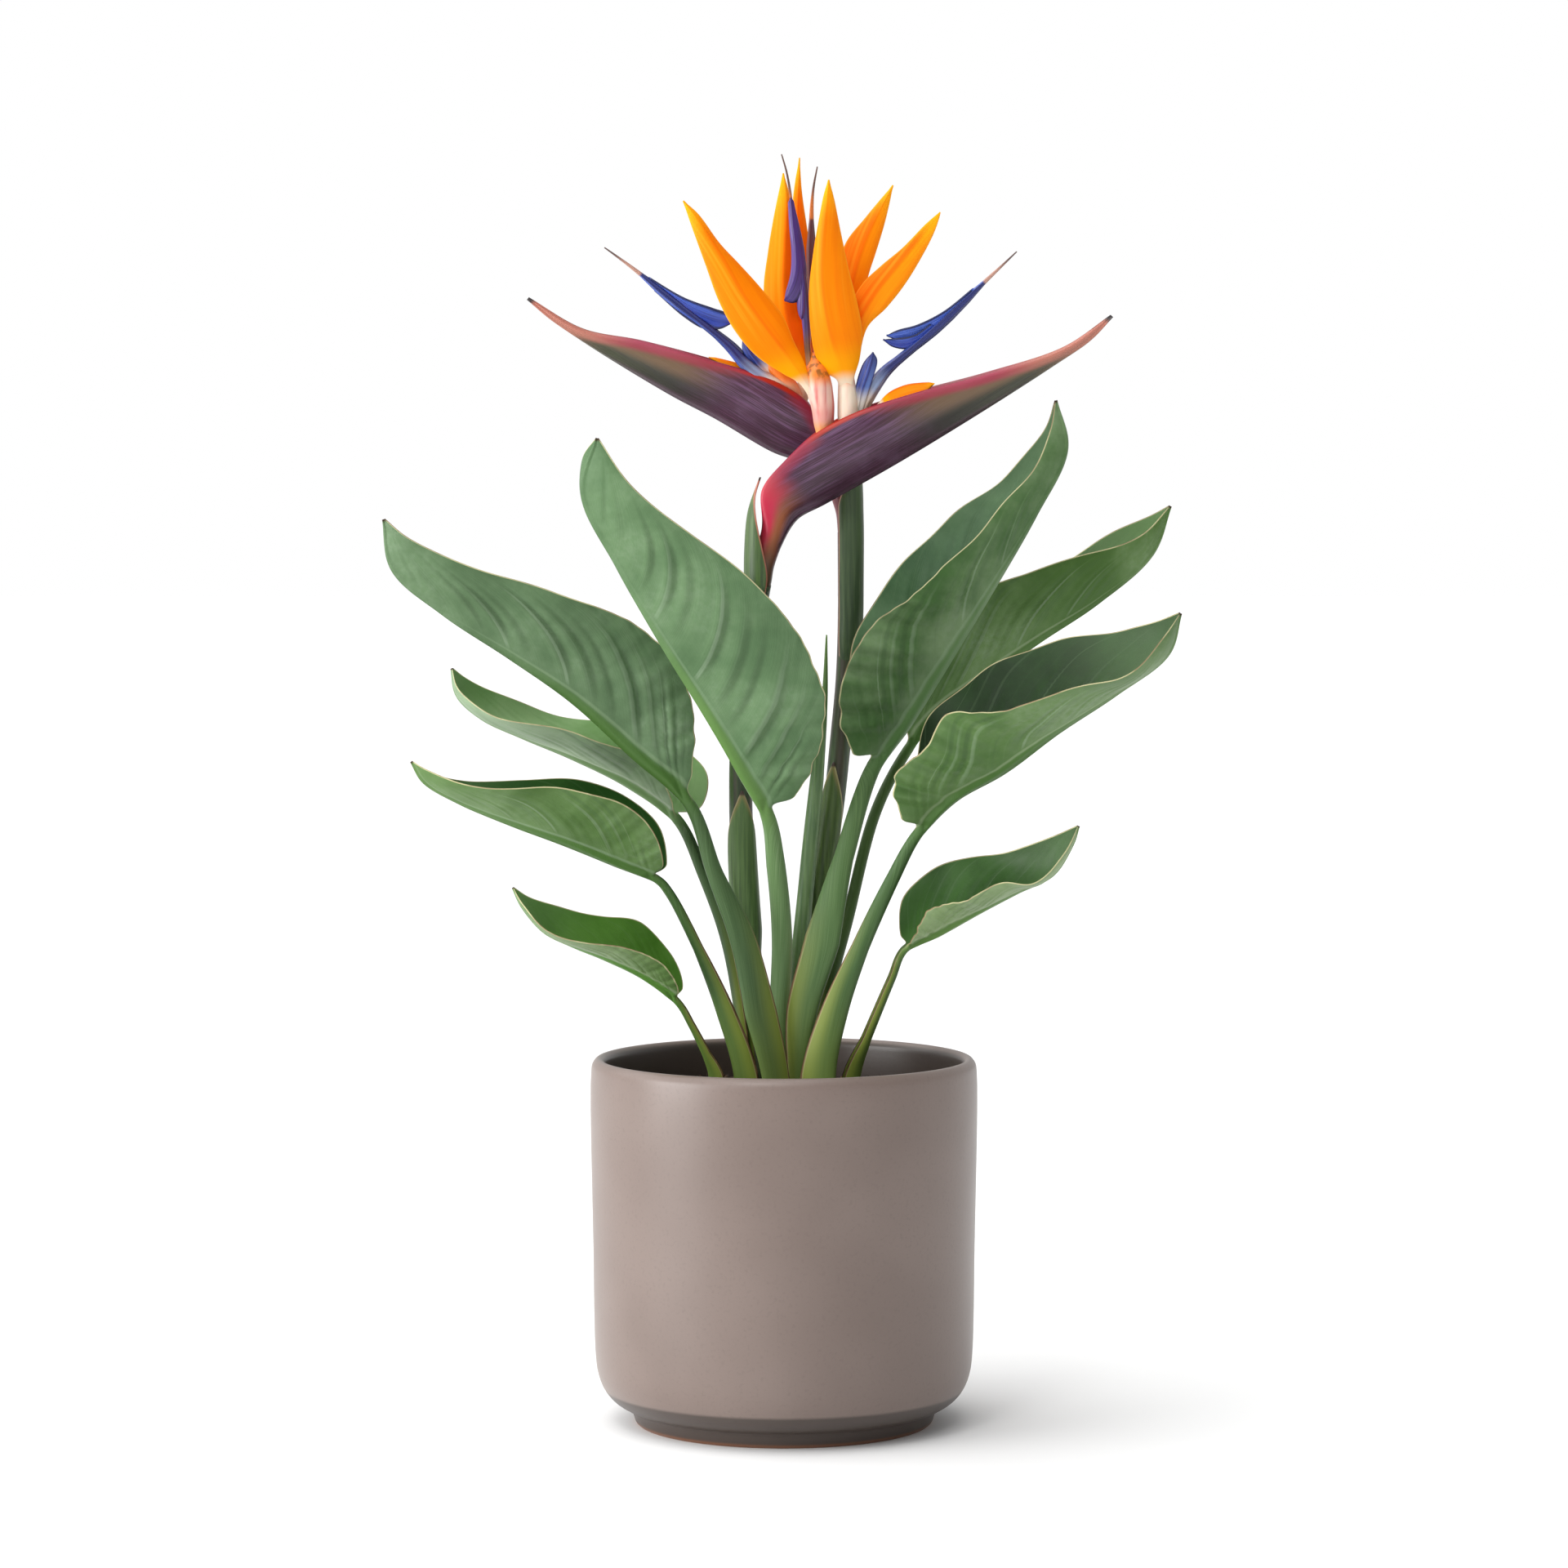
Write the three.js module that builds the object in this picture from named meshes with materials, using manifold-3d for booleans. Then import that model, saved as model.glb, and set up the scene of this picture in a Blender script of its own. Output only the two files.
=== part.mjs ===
// A potted bird of paradise: a clump of nine boat-shaped leaves with one rolled young leaf,
// and two flower stalks that each carry a beaked spathe with orange sepals and blue petals.
// The plant stands in soil in a straight-sided glazed pot.
// Millimetres, +Z up. The origin is the centre of the pot's underside and the plant's front faces -Y.
import * as THREE from 'three';
import { mergeVertices } from 'three/addons/utils/BufferGeometryUtils.js';
import Module from 'manifold-3d';

const wasm = await Module();
wasm.setup();

// Pot
const POT_RADIUS = 95;
const POT_HEIGHT = 180.5;
const POT_WALL = 7;
const POT_FLOOR = 10;
const FOOT_RADIUS = 73.5;
const FOOT_HEIGHT = 7.6;
const POT_SIDES = 42;

// Soil
const SOIL_LEVEL = 161;
const SOIL_RELIEF = 1.6;
const SOIL_RINGS = 7;
const SOIL_SIDES = 26;

// Thicknesses and clearances
const BLADE_THICKNESS = 1;
const SEPAL_THICKNESS = 1.3;
const RIM_THICKNESS = 1.2;
const RIM_LIFT = 0.6;
const CLEARANCE = 0.35;

// Colours
const GLAZE = 0x95877c;
const SOIL_BROWN = 0x3b2d23;
const LEAF_GREEN = 0x64896a;
const STALK_GREEN = 0x4f6b4c;
const SPATHE_PURPLE = 0x57364a;
const SEPAL_ORANGE = 0xff9800;
const PETAL_BLUE = 0x31399a;
const PETAL_BROWN = 0x5b3a4a;
const TUBE_PINK = 0xe7a8a0;
const TUBE_CREAM = 0xf4ead8;

const scene = new THREE.Group();

function addPiece(name, geometry, color, roughness) {
  const material = new THREE.MeshStandardMaterial({ color, roughness, metalness: 0 });
  const mesh = new THREE.Mesh(geometry, material);
  mesh.name = name;
  scene.add(mesh);
  return mesh;
}

function vec(point) {
  return new THREE.Vector3(...point);
}

function smoothCurve(points) {
  return new THREE.CatmullRomCurve3(points.map(vec), false, 'centripetal');
}

// Rises smoothly from 0 to 1 as t goes from 0 to 1.
function ease(t) {
  const c = Math.min(Math.max(t, 0), 1);
  return c * c * (3 - 2 * c);
}

// The value at a fractional index of a list, joined by straight lines.
function valueAt(list, index) {
  const low = Math.min(Math.floor(index), list.length - 2);
  const mix = Math.min(index - low, 1);
  return list[low] * (1 - mix) + list[low + 1] * mix;
}

function signedVolume(points, triangles) {
  const total = triangles.reduce((sum, [a, b, c]) => {
    const cross = new THREE.Vector3().crossVectors(points[b], points[c]);
    return sum + points[a].dot(cross);
  }, 0);
  return total / 6;
}

function geometryFrom(points, triangles) {
  const outward = signedVolume(points, triangles) > 0;
  const ordered = outward ? triangles : triangles.map(([a, b, c]) => [a, c, b]);
  const geometry = new THREE.BufferGeometry();
  const flat = points.flatMap((p) => [p.x, p.y, p.z]);
  geometry.setAttribute('position', new THREE.Float32BufferAttribute(flat, 3));
  geometry.setIndex(ordered.flat());
  return geometry;
}

// A closed solid between two grids of points that have the same rows and columns.
// Both faces are split along the same diagonals, so a thin waved sheet never crosses itself.
function solidBetween(top, bottom) {
  const rows = top.length;
  const columns = top[0].length;
  const points = [...top.flat(), ...bottom.flat()];
  const upper = (i, j) => i * columns + j;
  const lower = (i, j) => rows * columns + upper(i, j);
  const triangles = [];
  const quad = (a, b, c, d) => triangles.push([a, b, c], [a, c, d]);
  for (let i = 0; i < rows - 1; i += 1) {
    for (let j = 0; j < columns - 1; j += 1) {
      quad(upper(i, j), upper(i + 1, j), upper(i + 1, j + 1), upper(i, j + 1));
      triangles.push([lower(i, j), lower(i + 1, j + 1), lower(i + 1, j)]);
      triangles.push([lower(i, j), lower(i, j + 1), lower(i + 1, j + 1)]);
    }
    const last = columns - 1;
    quad(upper(i, 0), lower(i, 0), lower(i + 1, 0), upper(i + 1, 0));
    quad(upper(i, last), upper(i + 1, last), lower(i + 1, last), lower(i, last));
  }
  for (let j = 0; j < columns - 1; j += 1) {
    const end = rows - 1;
    quad(upper(0, j), upper(0, j + 1), lower(0, j + 1), lower(0, j));
    quad(upper(end, j), lower(end, j), lower(end, j + 1), upper(end, j + 1));
  }
  return geometryFrom(points, triangles);
}

// A round solid along a curve. The radii are spread evenly along it, and a rolled sheet
// has a seam where its outer margin stands proud of the turn below it.
function tube({ path, radii, sides = 10, steps = 14, flatten = 1, seam = 0, grow = 0 }) {
  const curve = smoothCurve(path);
  const frames = curve.computeFrenetFrames(steps, false);
  const points = [];
  for (let i = 0; i <= steps; i += 1) {
    const centre = curve.getPointAt(i / steps);
    const radius = valueAt(radii, (i / steps) * (radii.length - 1)) + grow;
    if (i === 0) centre.addScaledVector(frames.tangents[0], -grow);
    for (let j = 0; j < sides; j += 1) {
      const angle = (2 * Math.PI * j) / sides;
      const swell = radius * (1 + (seam * j) / sides);
      const point = centre.clone();
      point.addScaledVector(frames.normals[i], swell * Math.cos(angle));
      point.addScaledVector(frames.binormals[i], swell * Math.sin(angle) * flatten);
      points.push(point);
    }
  }
  const start = points.push(curve.getPointAt(0).addScaledVector(frames.tangents[0], -grow)) - 1;
  const finish = points.push(curve.getPointAt(1)) - 1;
  const triangles = [];
  for (let j = 0; j < sides; j += 1) {
    const next = (j + 1) % sides;
    for (let i = 0; i < steps; i += 1) {
      const [a, b] = [i * sides + j, i * sides + next];
      triangles.push([a, b, b + sides], [a, b + sides, a + sides]);
    }
    triangles.push([start, next, j], [finish, steps * sides + j, steps * sides + next]);
  }
  return geometryFrom(points, triangles);
}

// Places across a blade, from the near margin (-1) over the midrib (0) to the far margin (1).
// The two places beside the midrib sit at the foot of the raised rib.
const LEAF_PLACES = [0.36, 0.7, 1];
const SEPAL_PLACES = [0.5, 1];
// Places along a blade from its base (0) to its tip (1), closer together at both ends.
const BLADE_STEPS = [0, 0.03, 0.07, 0.13, 0.21, 0.3, 0.4, 0.5, 0.6, 0.7, 0.79, 0.87, 0.94, 0.988];
const STEM_STEPS = 6;
// Beyond these places the blade is too narrow to show which way it opens.
const OPENING_FROM = 0.1;
const OPENING_TO = 0.9;
// The foot of the rib lies this many rib heights from the midrib, within these shares of the half.
const FOOT_SPREAD = 1.7;
const FOOT_LEAST = 0.08;
const FOOT_MOST = 0.22;
// The far margin's waves are shifted by this share of a wave against the near margin's.
const FAR_WAVE_SHIFT = 0.37;
// The least width of a half in millimetres, and the least slant at which its thickness is measured.
const LEAST_REACH = 0.5;
const LEAST_SLANT = 0.4;
// The elliptical stem section starts and ends this angle short of its sides, in radians.
const STEM_EDGE = 0.2;
const SPINE_SAMPLES = 600;

// A leaf, spathe or sepal as one solid. Its spine runs up the stem and along the midrib, and each
// half of the blade spans from the spine to its own margin. The section is an ellipse on the stem
// and changes over the share `join` of the blade to two halves that open like a boat.
function blade(shape) {
  const { stem = [], deep = [0], wide = [0], keel, near, far, steps = BLADE_STEPS, join = 0.07 } = shape;
  const { thickness = BLADE_THICKNESS, bulge = 0.06, ripple = 0, ripples = 4, phase = 0 } = shape;
  const { channel = null, grow = 0, rib = 0.7, ribFade = 1.6, halfPlaces = LEAF_PLACES } = shape;
  const spine = smoothCurve([...stem, ...keel]);
  const lengths = spine.getLengths(SPINE_SAMPLES);
  const parts = stem.length + keel.length - 1;
  const baseSample = Math.round((SPINE_SAMPLES * stem.length) / parts);
  const baseShare = lengths[baseSample] / lengths[SPINE_SAMPLES];
  const bases = stem.length ? [keel[0]] : [];
  const tip = keel[keel.length - 1];
  const nearMargin = smoothCurve([...bases, ...near, tip]);
  const farMargin = smoothCurve([...bases, ...far, tip]);

  const acrossAt = (s) => {
    const place = Math.min(Math.max(s, OPENING_FROM), OPENING_TO);
    return farMargin.getPointAt(place).sub(nearMargin.getPointAt(place));
  };
  const frameAt = (tangent, s) => {
    const across = acrossAt(s);
    across.addScaledVector(tangent, -across.dot(tangent)).normalize();
    const up = new THREE.Vector3().crossVectors(across, tangent).normalize();
    return { across, up };
  };
  const middle = baseShare + (1 - baseShare) / 2;
  const opening = nearMargin.getPointAt(0.5).add(farMargin.getPointAt(0.5)).multiplyScalar(0.5);
  opening.sub(spine.getPointAt(middle));
  const turn = Math.sign(frameAt(spine.getTangentAt(middle), 0.5).up.dot(opening));

  const columns = 2 * halfPlaces.length + 3;
  const stemRow = (centre, frame, halfDeep, halfWide) => {
    const row = { top: [], bottom: [] };
    for (let j = 0; j < columns; j += 1) {
      const angle = STEM_EDGE + ((Math.PI - 2 * STEM_EDGE) * j) / (columns - 1);
      const side = centre.clone().addScaledVector(frame.across, -(halfWide + grow) * Math.cos(angle));
      const lift = (halfDeep + grow) * Math.sin(angle);
      row.top.push(side.clone().addScaledVector(frame.up, lift));
      row.bottom.push(side.clone().addScaledVector(frame.up, -lift));
    }
    return row;
  };

  const bladeRow = (centre, tangent, frame, s, ribHeight) => {
    const ends = [nearMargin.getPointAt(s), farMargin.getPointAt(s)];
    const width = Math.max(ends[0].distanceTo(centre), ends[1].distanceTo(centre), LEAST_REACH);
    const foot = Math.min(Math.max((FOOT_SPREAD * ribHeight) / width, FOOT_LEAST), FOOT_MOST);
    const half = [0, foot, ...halfPlaces];
    const places = [...half.slice(1).reverse().map((q) => -q), ...half];
    const row = { top: [], bottom: [] };
    places.forEach((place) => {
      const share = Math.abs(place);
      const margin = ends[place < 0 ? 0 : 1];
      const arm = margin.clone().sub(centre);
      const reach = Math.max(arm.length(), LEAST_REACH);
      const outward = new THREE.Vector3().crossVectors(tangent, arm).normalize();
      if (outward.dot(frame.up) > 0) outward.negate();
      const side = place < 0 ? 0 : FAR_WAVE_SHIFT;
      const wave = ripple * share * share * Math.sin(Math.PI * s)
        * Math.sin(2 * Math.PI * (ripples * s + phase + side));
      const crown = bulge * reach * 4 * share * (1 - share);
      const point = centre.clone().addScaledVector(arm, share).addScaledVector(outward, crown + wave);
      const run = arm.clone().addScaledVector(outward, bulge * reach * 4 * (1 - 2 * share)).normalize();
      const slant = Math.sqrt(Math.max(1 - run.dot(frame.up) ** 2, 0));
      const lift = (thickness / 2 + grow) / Math.max(slant, LEAST_SLANT);
      row.bottom.push(point.clone().addScaledVector(frame.up, share === 0 ? -ribHeight - grow : -lift));
      row.top.push(point.clone().addScaledVector(frame.up, share === 0 ? thickness / 2 + grow : lift));
    });
    if (channel) {
      const depth = channel(s);
      row.top = places.map((place) => {
        const mix = 0.5 + place * (0.5 - Math.min(RIM_THICKNESS / ends[0].distanceTo(ends[1]), 0.25));
        const point = ends[0].clone().lerp(ends[1], mix);
        return point.addScaledVector(frame.up, RIM_LIFT - depth * (1 - place * place));
      });
    }
    return row;
  };

  const rows = [];
  for (let i = 0; i < STEM_STEPS && stem.length; i += 1) {
    const index = (i / STEM_STEPS) * stem.length;
    const centre = spine.getPoint(index / parts);
    const tangent = spine.getTangent(index / parts);
    if (i === 0) centre.addScaledVector(tangent, -grow);
    const frame = frameAt(tangent, 0);
    frame.up.multiplyScalar(turn);
    rows.push(stemRow(centre, frame, valueAt(deep, index), valueAt(wide, index)));
  }
  const stemDeep = deep[deep.length - 1];
  const stemWide = wide[wide.length - 1];
  steps.forEach((s) => {
    const place = baseShare + (1 - baseShare) * s;
    const centre = spine.getPointAt(place);
    const tangent = spine.getTangentAt(place);
    const frame = frameAt(tangent, s);
    frame.up.multiplyScalar(turn);
    const ribHeight = rib + Math.max(stemDeep - rib, 0) * (1 - s) ** ribFade;
    const open = bladeRow(centre, tangent, frame, s, ribHeight);
    const mix = stem.length ? ease(s / join) : 1;
    if (mix < 1) {
      const round = stemRow(centre, frame, stemDeep, stemWide);
      open.top = open.top.map((point, j) => round.top[j].lerp(point, mix));
      open.bottom = open.bottom.map((point, j) => round.bottom[j].lerp(point, mix));
    }
    rows.push(open);
  });
  return solidBetween(rows.map((row) => row.top), rows.map((row) => row.bottom));
}

// Solids for joining and cutting.
function solid(geometry) {
  const merged = mergeVertices(geometry, 1e-4);
  const index = Array.from(merged.index.array);
  const kept = [];
  for (let i = 0; i < index.length; i += 3) {
    const [a, b, c] = index.slice(i, i + 3);
    if (a !== b && b !== c && c !== a) kept.push(a, b, c);
  }
  const vertProperties = new Float32Array(merged.attributes.position.array);
  return new wasm.Manifold(new wasm.Mesh({ numProp: 3, vertProperties, triVerts: new Uint32Array(kept) }));
}

function geometryOf(manifold) {
  const mesh = manifold.getMesh();
  const geometry = new THREE.BufferGeometry();
  geometry.setAttribute('position', new THREE.BufferAttribute(mesh.vertProperties, 3));
  geometry.setIndex(new THREE.BufferAttribute(mesh.triVerts, 1));
  return geometry;
}

function joined(geometries) {
  return geometryOf(geometries.map(solid).reduce((whole, next) => whole.add(next)));
}

// Turned about Z from a profile of [radius, height] pairs that starts and ends on the axis.
function turned(profile, sides) {
  const lathe = new THREE.LatheGeometry(profile.map(([r, z]) => new THREE.Vector2(r, z)), sides);
  lathe.rotateX(Math.PI / 2);
  lathe.deleteAttribute('normal');
  lathe.deleteAttribute('uv');
  return lathe;
}

// The pot: thrown straight-sided, on a narrower foot, with a soft turn above it and a rounded lip.
// Its inside narrows slightly down to the turn and then rounds off to the floor.
const potInside = POT_RADIUS - POT_WALL;
const innerTurn = [[potInside - 2, 40], [potInside - 7, 18], [potInside - 16, POT_FLOOR]];
const potProfile = [
  [0, 0],
  [FOOT_RADIUS - 1, 0],
  [FOOT_RADIUS, 1],
  [FOOT_RADIUS + 2.5, FOOT_HEIGHT],
  [78.5, 8.4],
  [84.5, 12],
  [88.8, 17],
  [91.4, 23],
  [92.9, 31],
  [94.2, 90],
  [POT_RADIUS, POT_HEIGHT - 6],
  [POT_RADIUS - 0.8, POT_HEIGHT - 2.4],
  [POT_RADIUS - 2.8, POT_HEIGHT - 0.4],
  [POT_RADIUS - 4.6, POT_HEIGHT - 0.4],
  [potInside + 0.6, POT_HEIGHT - 2.2],
  [potInside, POT_HEIGHT - 5],
  ...innerTurn,
  [0, POT_FLOOR],
];
addPiece('pot', geometryOf(solid(turned(potProfile, POT_SIDES))), GLAZE, 0.55);

// The leaves. Each stem runs from its buried end to the blade, `deep` and `wide` are its half
// sizes along it, and the wide lower part is the sheath that clasps the clump.
const leaves = [
  {
    name: 'leaf_left_upper',
    stem: [[-2, -13, 139], [-4, -13, 173], [-11, -13, 204], [-20, -14, 240], [-34, -15, 273]],
    deep: [7.5, 8, 9.6, 7.6, 4.4, 3],
    wide: [4, 4, 4, 3.8, 3.4, 3],
    keel: [[-46, -16, 306], [-73, -18, 331], [-103, -22, 358], [-133, -26, 379], [-165, -30, 400],
      [-189, -33, 421], [-193.5, -34, 446]],
    near: [[-45, -16, 322], [-44, -18, 348], [-52, -20, 375], [-74, -26, 395], [-111, -34, 410],
      [-147, -38, 421], [-181, -38, 436]],
    far: [[-53, -4, 322], [-58, 10, 345], [-77, 16, 371], [-109, 14, 393], [-141, 6, 405],
      [-171, -12, 415], [-189, -25, 430]],
    ripple: 1.2,
  },
  {
    name: 'leaf_centre',
    stem: [[-1, 7, 137], [-1, 7, 171], [-2, 6, 202], [-1, 4, 239], [-4, -8, 276]],
    deep: [4.4, 4.4, 4.8, 5, 4.6, 3.4],
    wide: [5.2, 5.4, 5.4, 5.2, 4.8, 3.6],
    keel: [[-8, -20, 301], [-21, -36, 325], [-37, -50, 352], [-58, -62, 386], [-79, -72, 423],
      [-95, -82, 457], [-88, -88, 484]],
    near: [[5, -26, 311], [17, -42, 335], [19, -52, 361], [6, -64, 391], [-15, -76, 416],
      [-44, -84, 438], [-73, -90, 462]],
    far: [[-12, -8, 316], [-22, -10, 340], [-36, -20, 366], [-56, -34, 394], [-78, -50, 426],
      [-95, -66, 454], [-95, -80, 474]],
    ripple: 1,
  },
  {
    name: 'leaf_left_middle',
    stem: [[-14, 8, 137], [-17, 9, 170], [-21, 10, 202], [-28, 13, 238], [-40, 15, 270]],
    deep: [4, 4, 4, 3.8, 3, 2.6],
    wide: [3.4, 3.4, 3.2, 3, 2.8, 2.6],
    keel: [[-53, 18, 297], [-76, 20, 314], [-105, 22, 328], [-130, 24, 338], [-150, 26, 347],
      [-162, 26, 358], [-165, 26, 372]],
    near: [[-56, 8, 309], [-65, 0, 327], [-80, -4, 333], [-100, -8, 341], [-124, -8, 344],
      [-147, 2, 352], [-161, 14, 361]],
    far: [[-41, 30, 303], [-39, 40, 319], [-55, 50, 334], [-92, 54, 344], [-123, 50, 350],
      [-147, 40, 360], [-159, 32, 367]],
    ripple: 1.6,
    ripples: 3,
  },
  {
    name: 'leaf_left_lower',
    stem: [[-16, -4, 138], [-18, -4, 172], [-28, -4, 203], [-42, -5, 235], [-56, -6, 262]],
    deep: [6.4, 6.8, 5.2, 2.8, 2.4, 2.2],
    wide: [3.2, 3.2, 3, 2.6, 2.4, 2.2],
    keel: [[-62, -8, 269], [-83, -14, 278], [-107, -21, 288], [-133, -28, 298], [-158, -35, 309],
      [-174, -40, 319], [-180, -42, 329]],
    near: [[-59, -18, 278], [-64, -30, 294], [-80, -40, 309], [-102, -46, 315], [-129, -52, 316],
      [-157, -52, 319], [-173, -46, 325]],
    far: [[-58, 0, 274], [-62, 8, 294], [-78, 12, 309], [-100, 8, 316], [-128, -2, 318],
      [-155, -16, 317], [-172, -32, 323]],
    ripple: 1.2,
    ripples: 3,
  },
  {
    name: 'leaf_left_small',
    stem: [[-30, -6, 139], [-33, -6, 172], [-38, -7, 183], [-45, -9, 197]],
    deep: [4, 4.2, 2.4, 1.9, 1.8],
    wide: [2.6, 2.4, 2, 1.9, 1.8],
    keel: [[-52, -12, 209], [-68, -18, 222], [-87, -26, 232], [-103, -32, 239], [-116, -37, 246],
      [-126, -41, 258], [-131, -43, 268]],
    near: [[-52, -22, 218], [-60, -36, 230], [-75, -46, 239], [-96, -52, 241], [-115, -54, 249],
      [-126, -50, 260]],
    far: [[-50, -4, 217], [-56, 0, 232], [-70, -4, 247], [-88, -12, 251], [-108, -22, 256],
      [-123, -34, 262]],
    ripple: 0.8,
    ripples: 3,
  },
  {
    name: 'leaf_right_upper',
    stem: [[6, -4, 138], [6, -4, 172], [8, -4, 203], [18, -4, 239], [29, 0, 279]],
    deep: [4.6, 4.8, 8.6, 10, 5.4, 4],
    wide: [3, 3, 3.4, 3.6, 3.4, 3.2],
    keel: [[44, 2, 324], [60, 6, 346], [81, 11, 378], [102, 16, 411], [124, 21, 448],
      [139.5, 25, 480], [134.5, 28, 505]],
    near: [[34, -8, 331], [28, -14, 348], [30, -14, 373], [48, -10, 397], [76, -4, 419],
      [98, 4, 442], [122, 14, 469], [132, 22, 490]],
    far: [[43, 11, 337], [34, 15, 359], [34.5, 18, 385], [58, 29, 422], [81.5, 36, 445],
      [109, 39, 466], [129, 34, 489]],
    ripple: 1.8,
    ripples: 5,
  },
  {
    name: 'leaf_right_back',
    stem: [[13, 7, 137], [14, 8, 170], [19, 12, 201], [31, 20, 245], [46, 36, 300]],
    deep: [3.5, 3.5, 3.3, 3, 2.8, 2.6],
    wide: [3.2, 3.2, 3.2, 3, 2.8, 2.6],
    keel: [[62, 46, 330], [78, 54, 349], [103, 64, 367], [130, 76, 385], [160, 88, 404],
      [188, 98, 428], [198, 102, 453]],
    near: [[60, 42, 343], [63, 42, 362], [78, 44, 387], [100, 52, 409], [123, 62, 419],
      [151, 74, 427], [183, 90, 438]],
    far: [[70, 56, 337], [74, 70, 351], [92, 90, 377], [117, 104, 406], [146, 112, 425],
      [170, 114, 439], [189, 108, 448]],
    ripple: 1.4,
  },
  {
    name: 'leaf_right_middle',
    stem: [[17, -12, 139], [16, -12, 173], [24, -12, 204], [37, -13, 236], [53, -15, 270]],
    deep: [9.6, 10, 7.6, 4.8, 3.6, 2.8],
    wide: [3.4, 3.4, 3.4, 3.2, 3, 2.8],
    keel: [[65, -18, 292], [82, -26, 310], [106, -35, 324], [131, -46, 343], [159, -56, 362],
      [183, -64, 381], [189, -68, 401]],
    near: [[57, -28, 301], [54, -42, 322], [69, -54, 337], [80, -64, 353], [109, -72, 354],
      [132, -80, 365], [158, -84, 369], [180, -78, 389]],
    far: [[65, -8, 306], [65, -4, 328], [72, -4, 349], [95, -8, 369], [122, -16, 383],
      [149, -26, 389], [173, -46, 394]],
    ripple: 1.6,
    ripples: 5,
  },
  {
    name: 'leaf_right_small',
    stem: [[29, -5, 138], [33, -5, 172], [40.5, -7, 191], [52.5, -10, 220]],
    deep: [5, 5, 2.8, 2.2, 2],
    wide: [2.8, 2.8, 2.4, 2.1, 2],
    keel: [[59, -14, 235], [76, -20, 244], [95, -27, 255], [113, -34, 265], [130, -40, 274],
      [139, -44, 289], [142, -46, 298]],
    near: [[63, -24, 242], [71, -38, 256], [88, -50, 263], [105, -56, 270], [119, -58, 271],
      [135, -54, 285]],
    far: [[57, -4, 245], [59, 0, 260], [72, -4, 273], [92, -12, 280], [111, -24, 284],
      [130, -38, 292]],
    ripple: 1,
    ripples: 3,
  },
];
leaves.forEach((leaf) => addPiece(leaf.name, blade(leaf), LEAF_GREEN, 0.5));

// The youngest leaf, still rolled into a spear.
const spear = {
  path: [[2, 17, 136], [3, 17, 169], [6.5, 17, 217], [10.6, 16, 258], [13.6, 15, 290], [17, 13, 323],
    [20, 11, 355], [21, 8, 388.5]],
  radii: [3.2, 3.4, 3.8, 3.8, 3.6, 3.2, 1.6, 0.4],
  seam: 0.14,
};
addPiece('leaf_spear', tube(spear), LEAF_GREEN, 0.5);

// The flower stalks, round and slightly thicker under the spathes.
const stalks = {
  stalk_left: {
    path: [[-10, 24, 135], [-12, 24, 169], [-16, 25, 216], [-20, 25, 265], [-21.5, 25, 306],
      [-21, 24, 338], [-18, 20, 371], [-14.5, 13, 399], [-12, 9, 413.8]],
    radii: [6, 6, 6, 6, 6, 5.8, 5.6, 5.6, 5.8],
  },
  stalk_right: {
    path: [[5, 28, 134], [7, 28, 168], [11.5, 28, 216], [17.5, 28, 261], [24, 28, 298],
      [28, 28, 334], [31.2, 28, 367], [32.4, 29, 399], [32.4, 30, 439]],
    radii: [5, 5, 5.2, 5.2, 5.2, 5.3, 5.5, 5.7, 5.8],
  },
};
Object.entries(stalks).forEach(([name, stalk]) => addPiece(name, tube(stalk), STALK_GREEN, 0.5));

// The soil: it fills the pot, rises in crumbs, and each stem stands in a plain hole in it.
function soilRelief(x, y) {
  const slow = Math.sin(0.07 * x + 1) * Math.cos(0.06 * y - 0.5);
  const crumbs = Math.sin(0.31 * x + 2 * Math.sin(0.13 * y)) * Math.sin(0.27 * y + 1.5 * Math.sin(0.17 * x));
  return SOIL_RELIEF * (slow + crumbs);
}

function soilBody() {
  const inside = innerTurn.map(([radius, height]) => [radius - CLEARANCE, height]);
  const [[edge, edgeHeight], [turnRadius, turnHeight], [floorRadius]] = inside;
  const profile = [[0, POT_FLOOR + CLEARANCE], [floorRadius, POT_FLOOR + CLEARANCE]];
  profile.push([turnRadius, turnHeight], [edge, edgeHeight], [edge + 1.4, SOIL_LEVEL - 1]);
  for (let ring = SOIL_RINGS; ring >= 0; ring -= 1) {
    profile.push([(edge * ring) / SOIL_RINGS, SOIL_LEVEL]);
  }
  const body = mergeVertices(turned(profile, SOIL_SIDES), 1e-4);
  const places = body.attributes.position;
  for (let i = 0; i < places.count; i += 1) {
    const [x, y, z] = [places.getX(i), places.getY(i), places.getZ(i)];
    const fade = Math.min((edge - Math.hypot(x, y)) / 8, 1);
    if (z > SOIL_LEVEL - 0.5) places.setZ(i, z + soilRelief(x, y) * fade);
  }
  return solid(body);
}

const stemHoles = [
  ...leaves.map((leaf) => blade({ ...leaf, grow: CLEARANCE })),
  tube({ ...spear, grow: CLEARANCE }),
  ...Object.values(stalks).map((stalk) => tube({ ...stalk, grow: CLEARANCE })),
];
const soil = stemHoles.reduce((body, stem) => body.subtract(solid(stem)), soilBody());
addPiece('soil', geometryOf(soil), SOIL_BROWN, 0.95);

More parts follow.
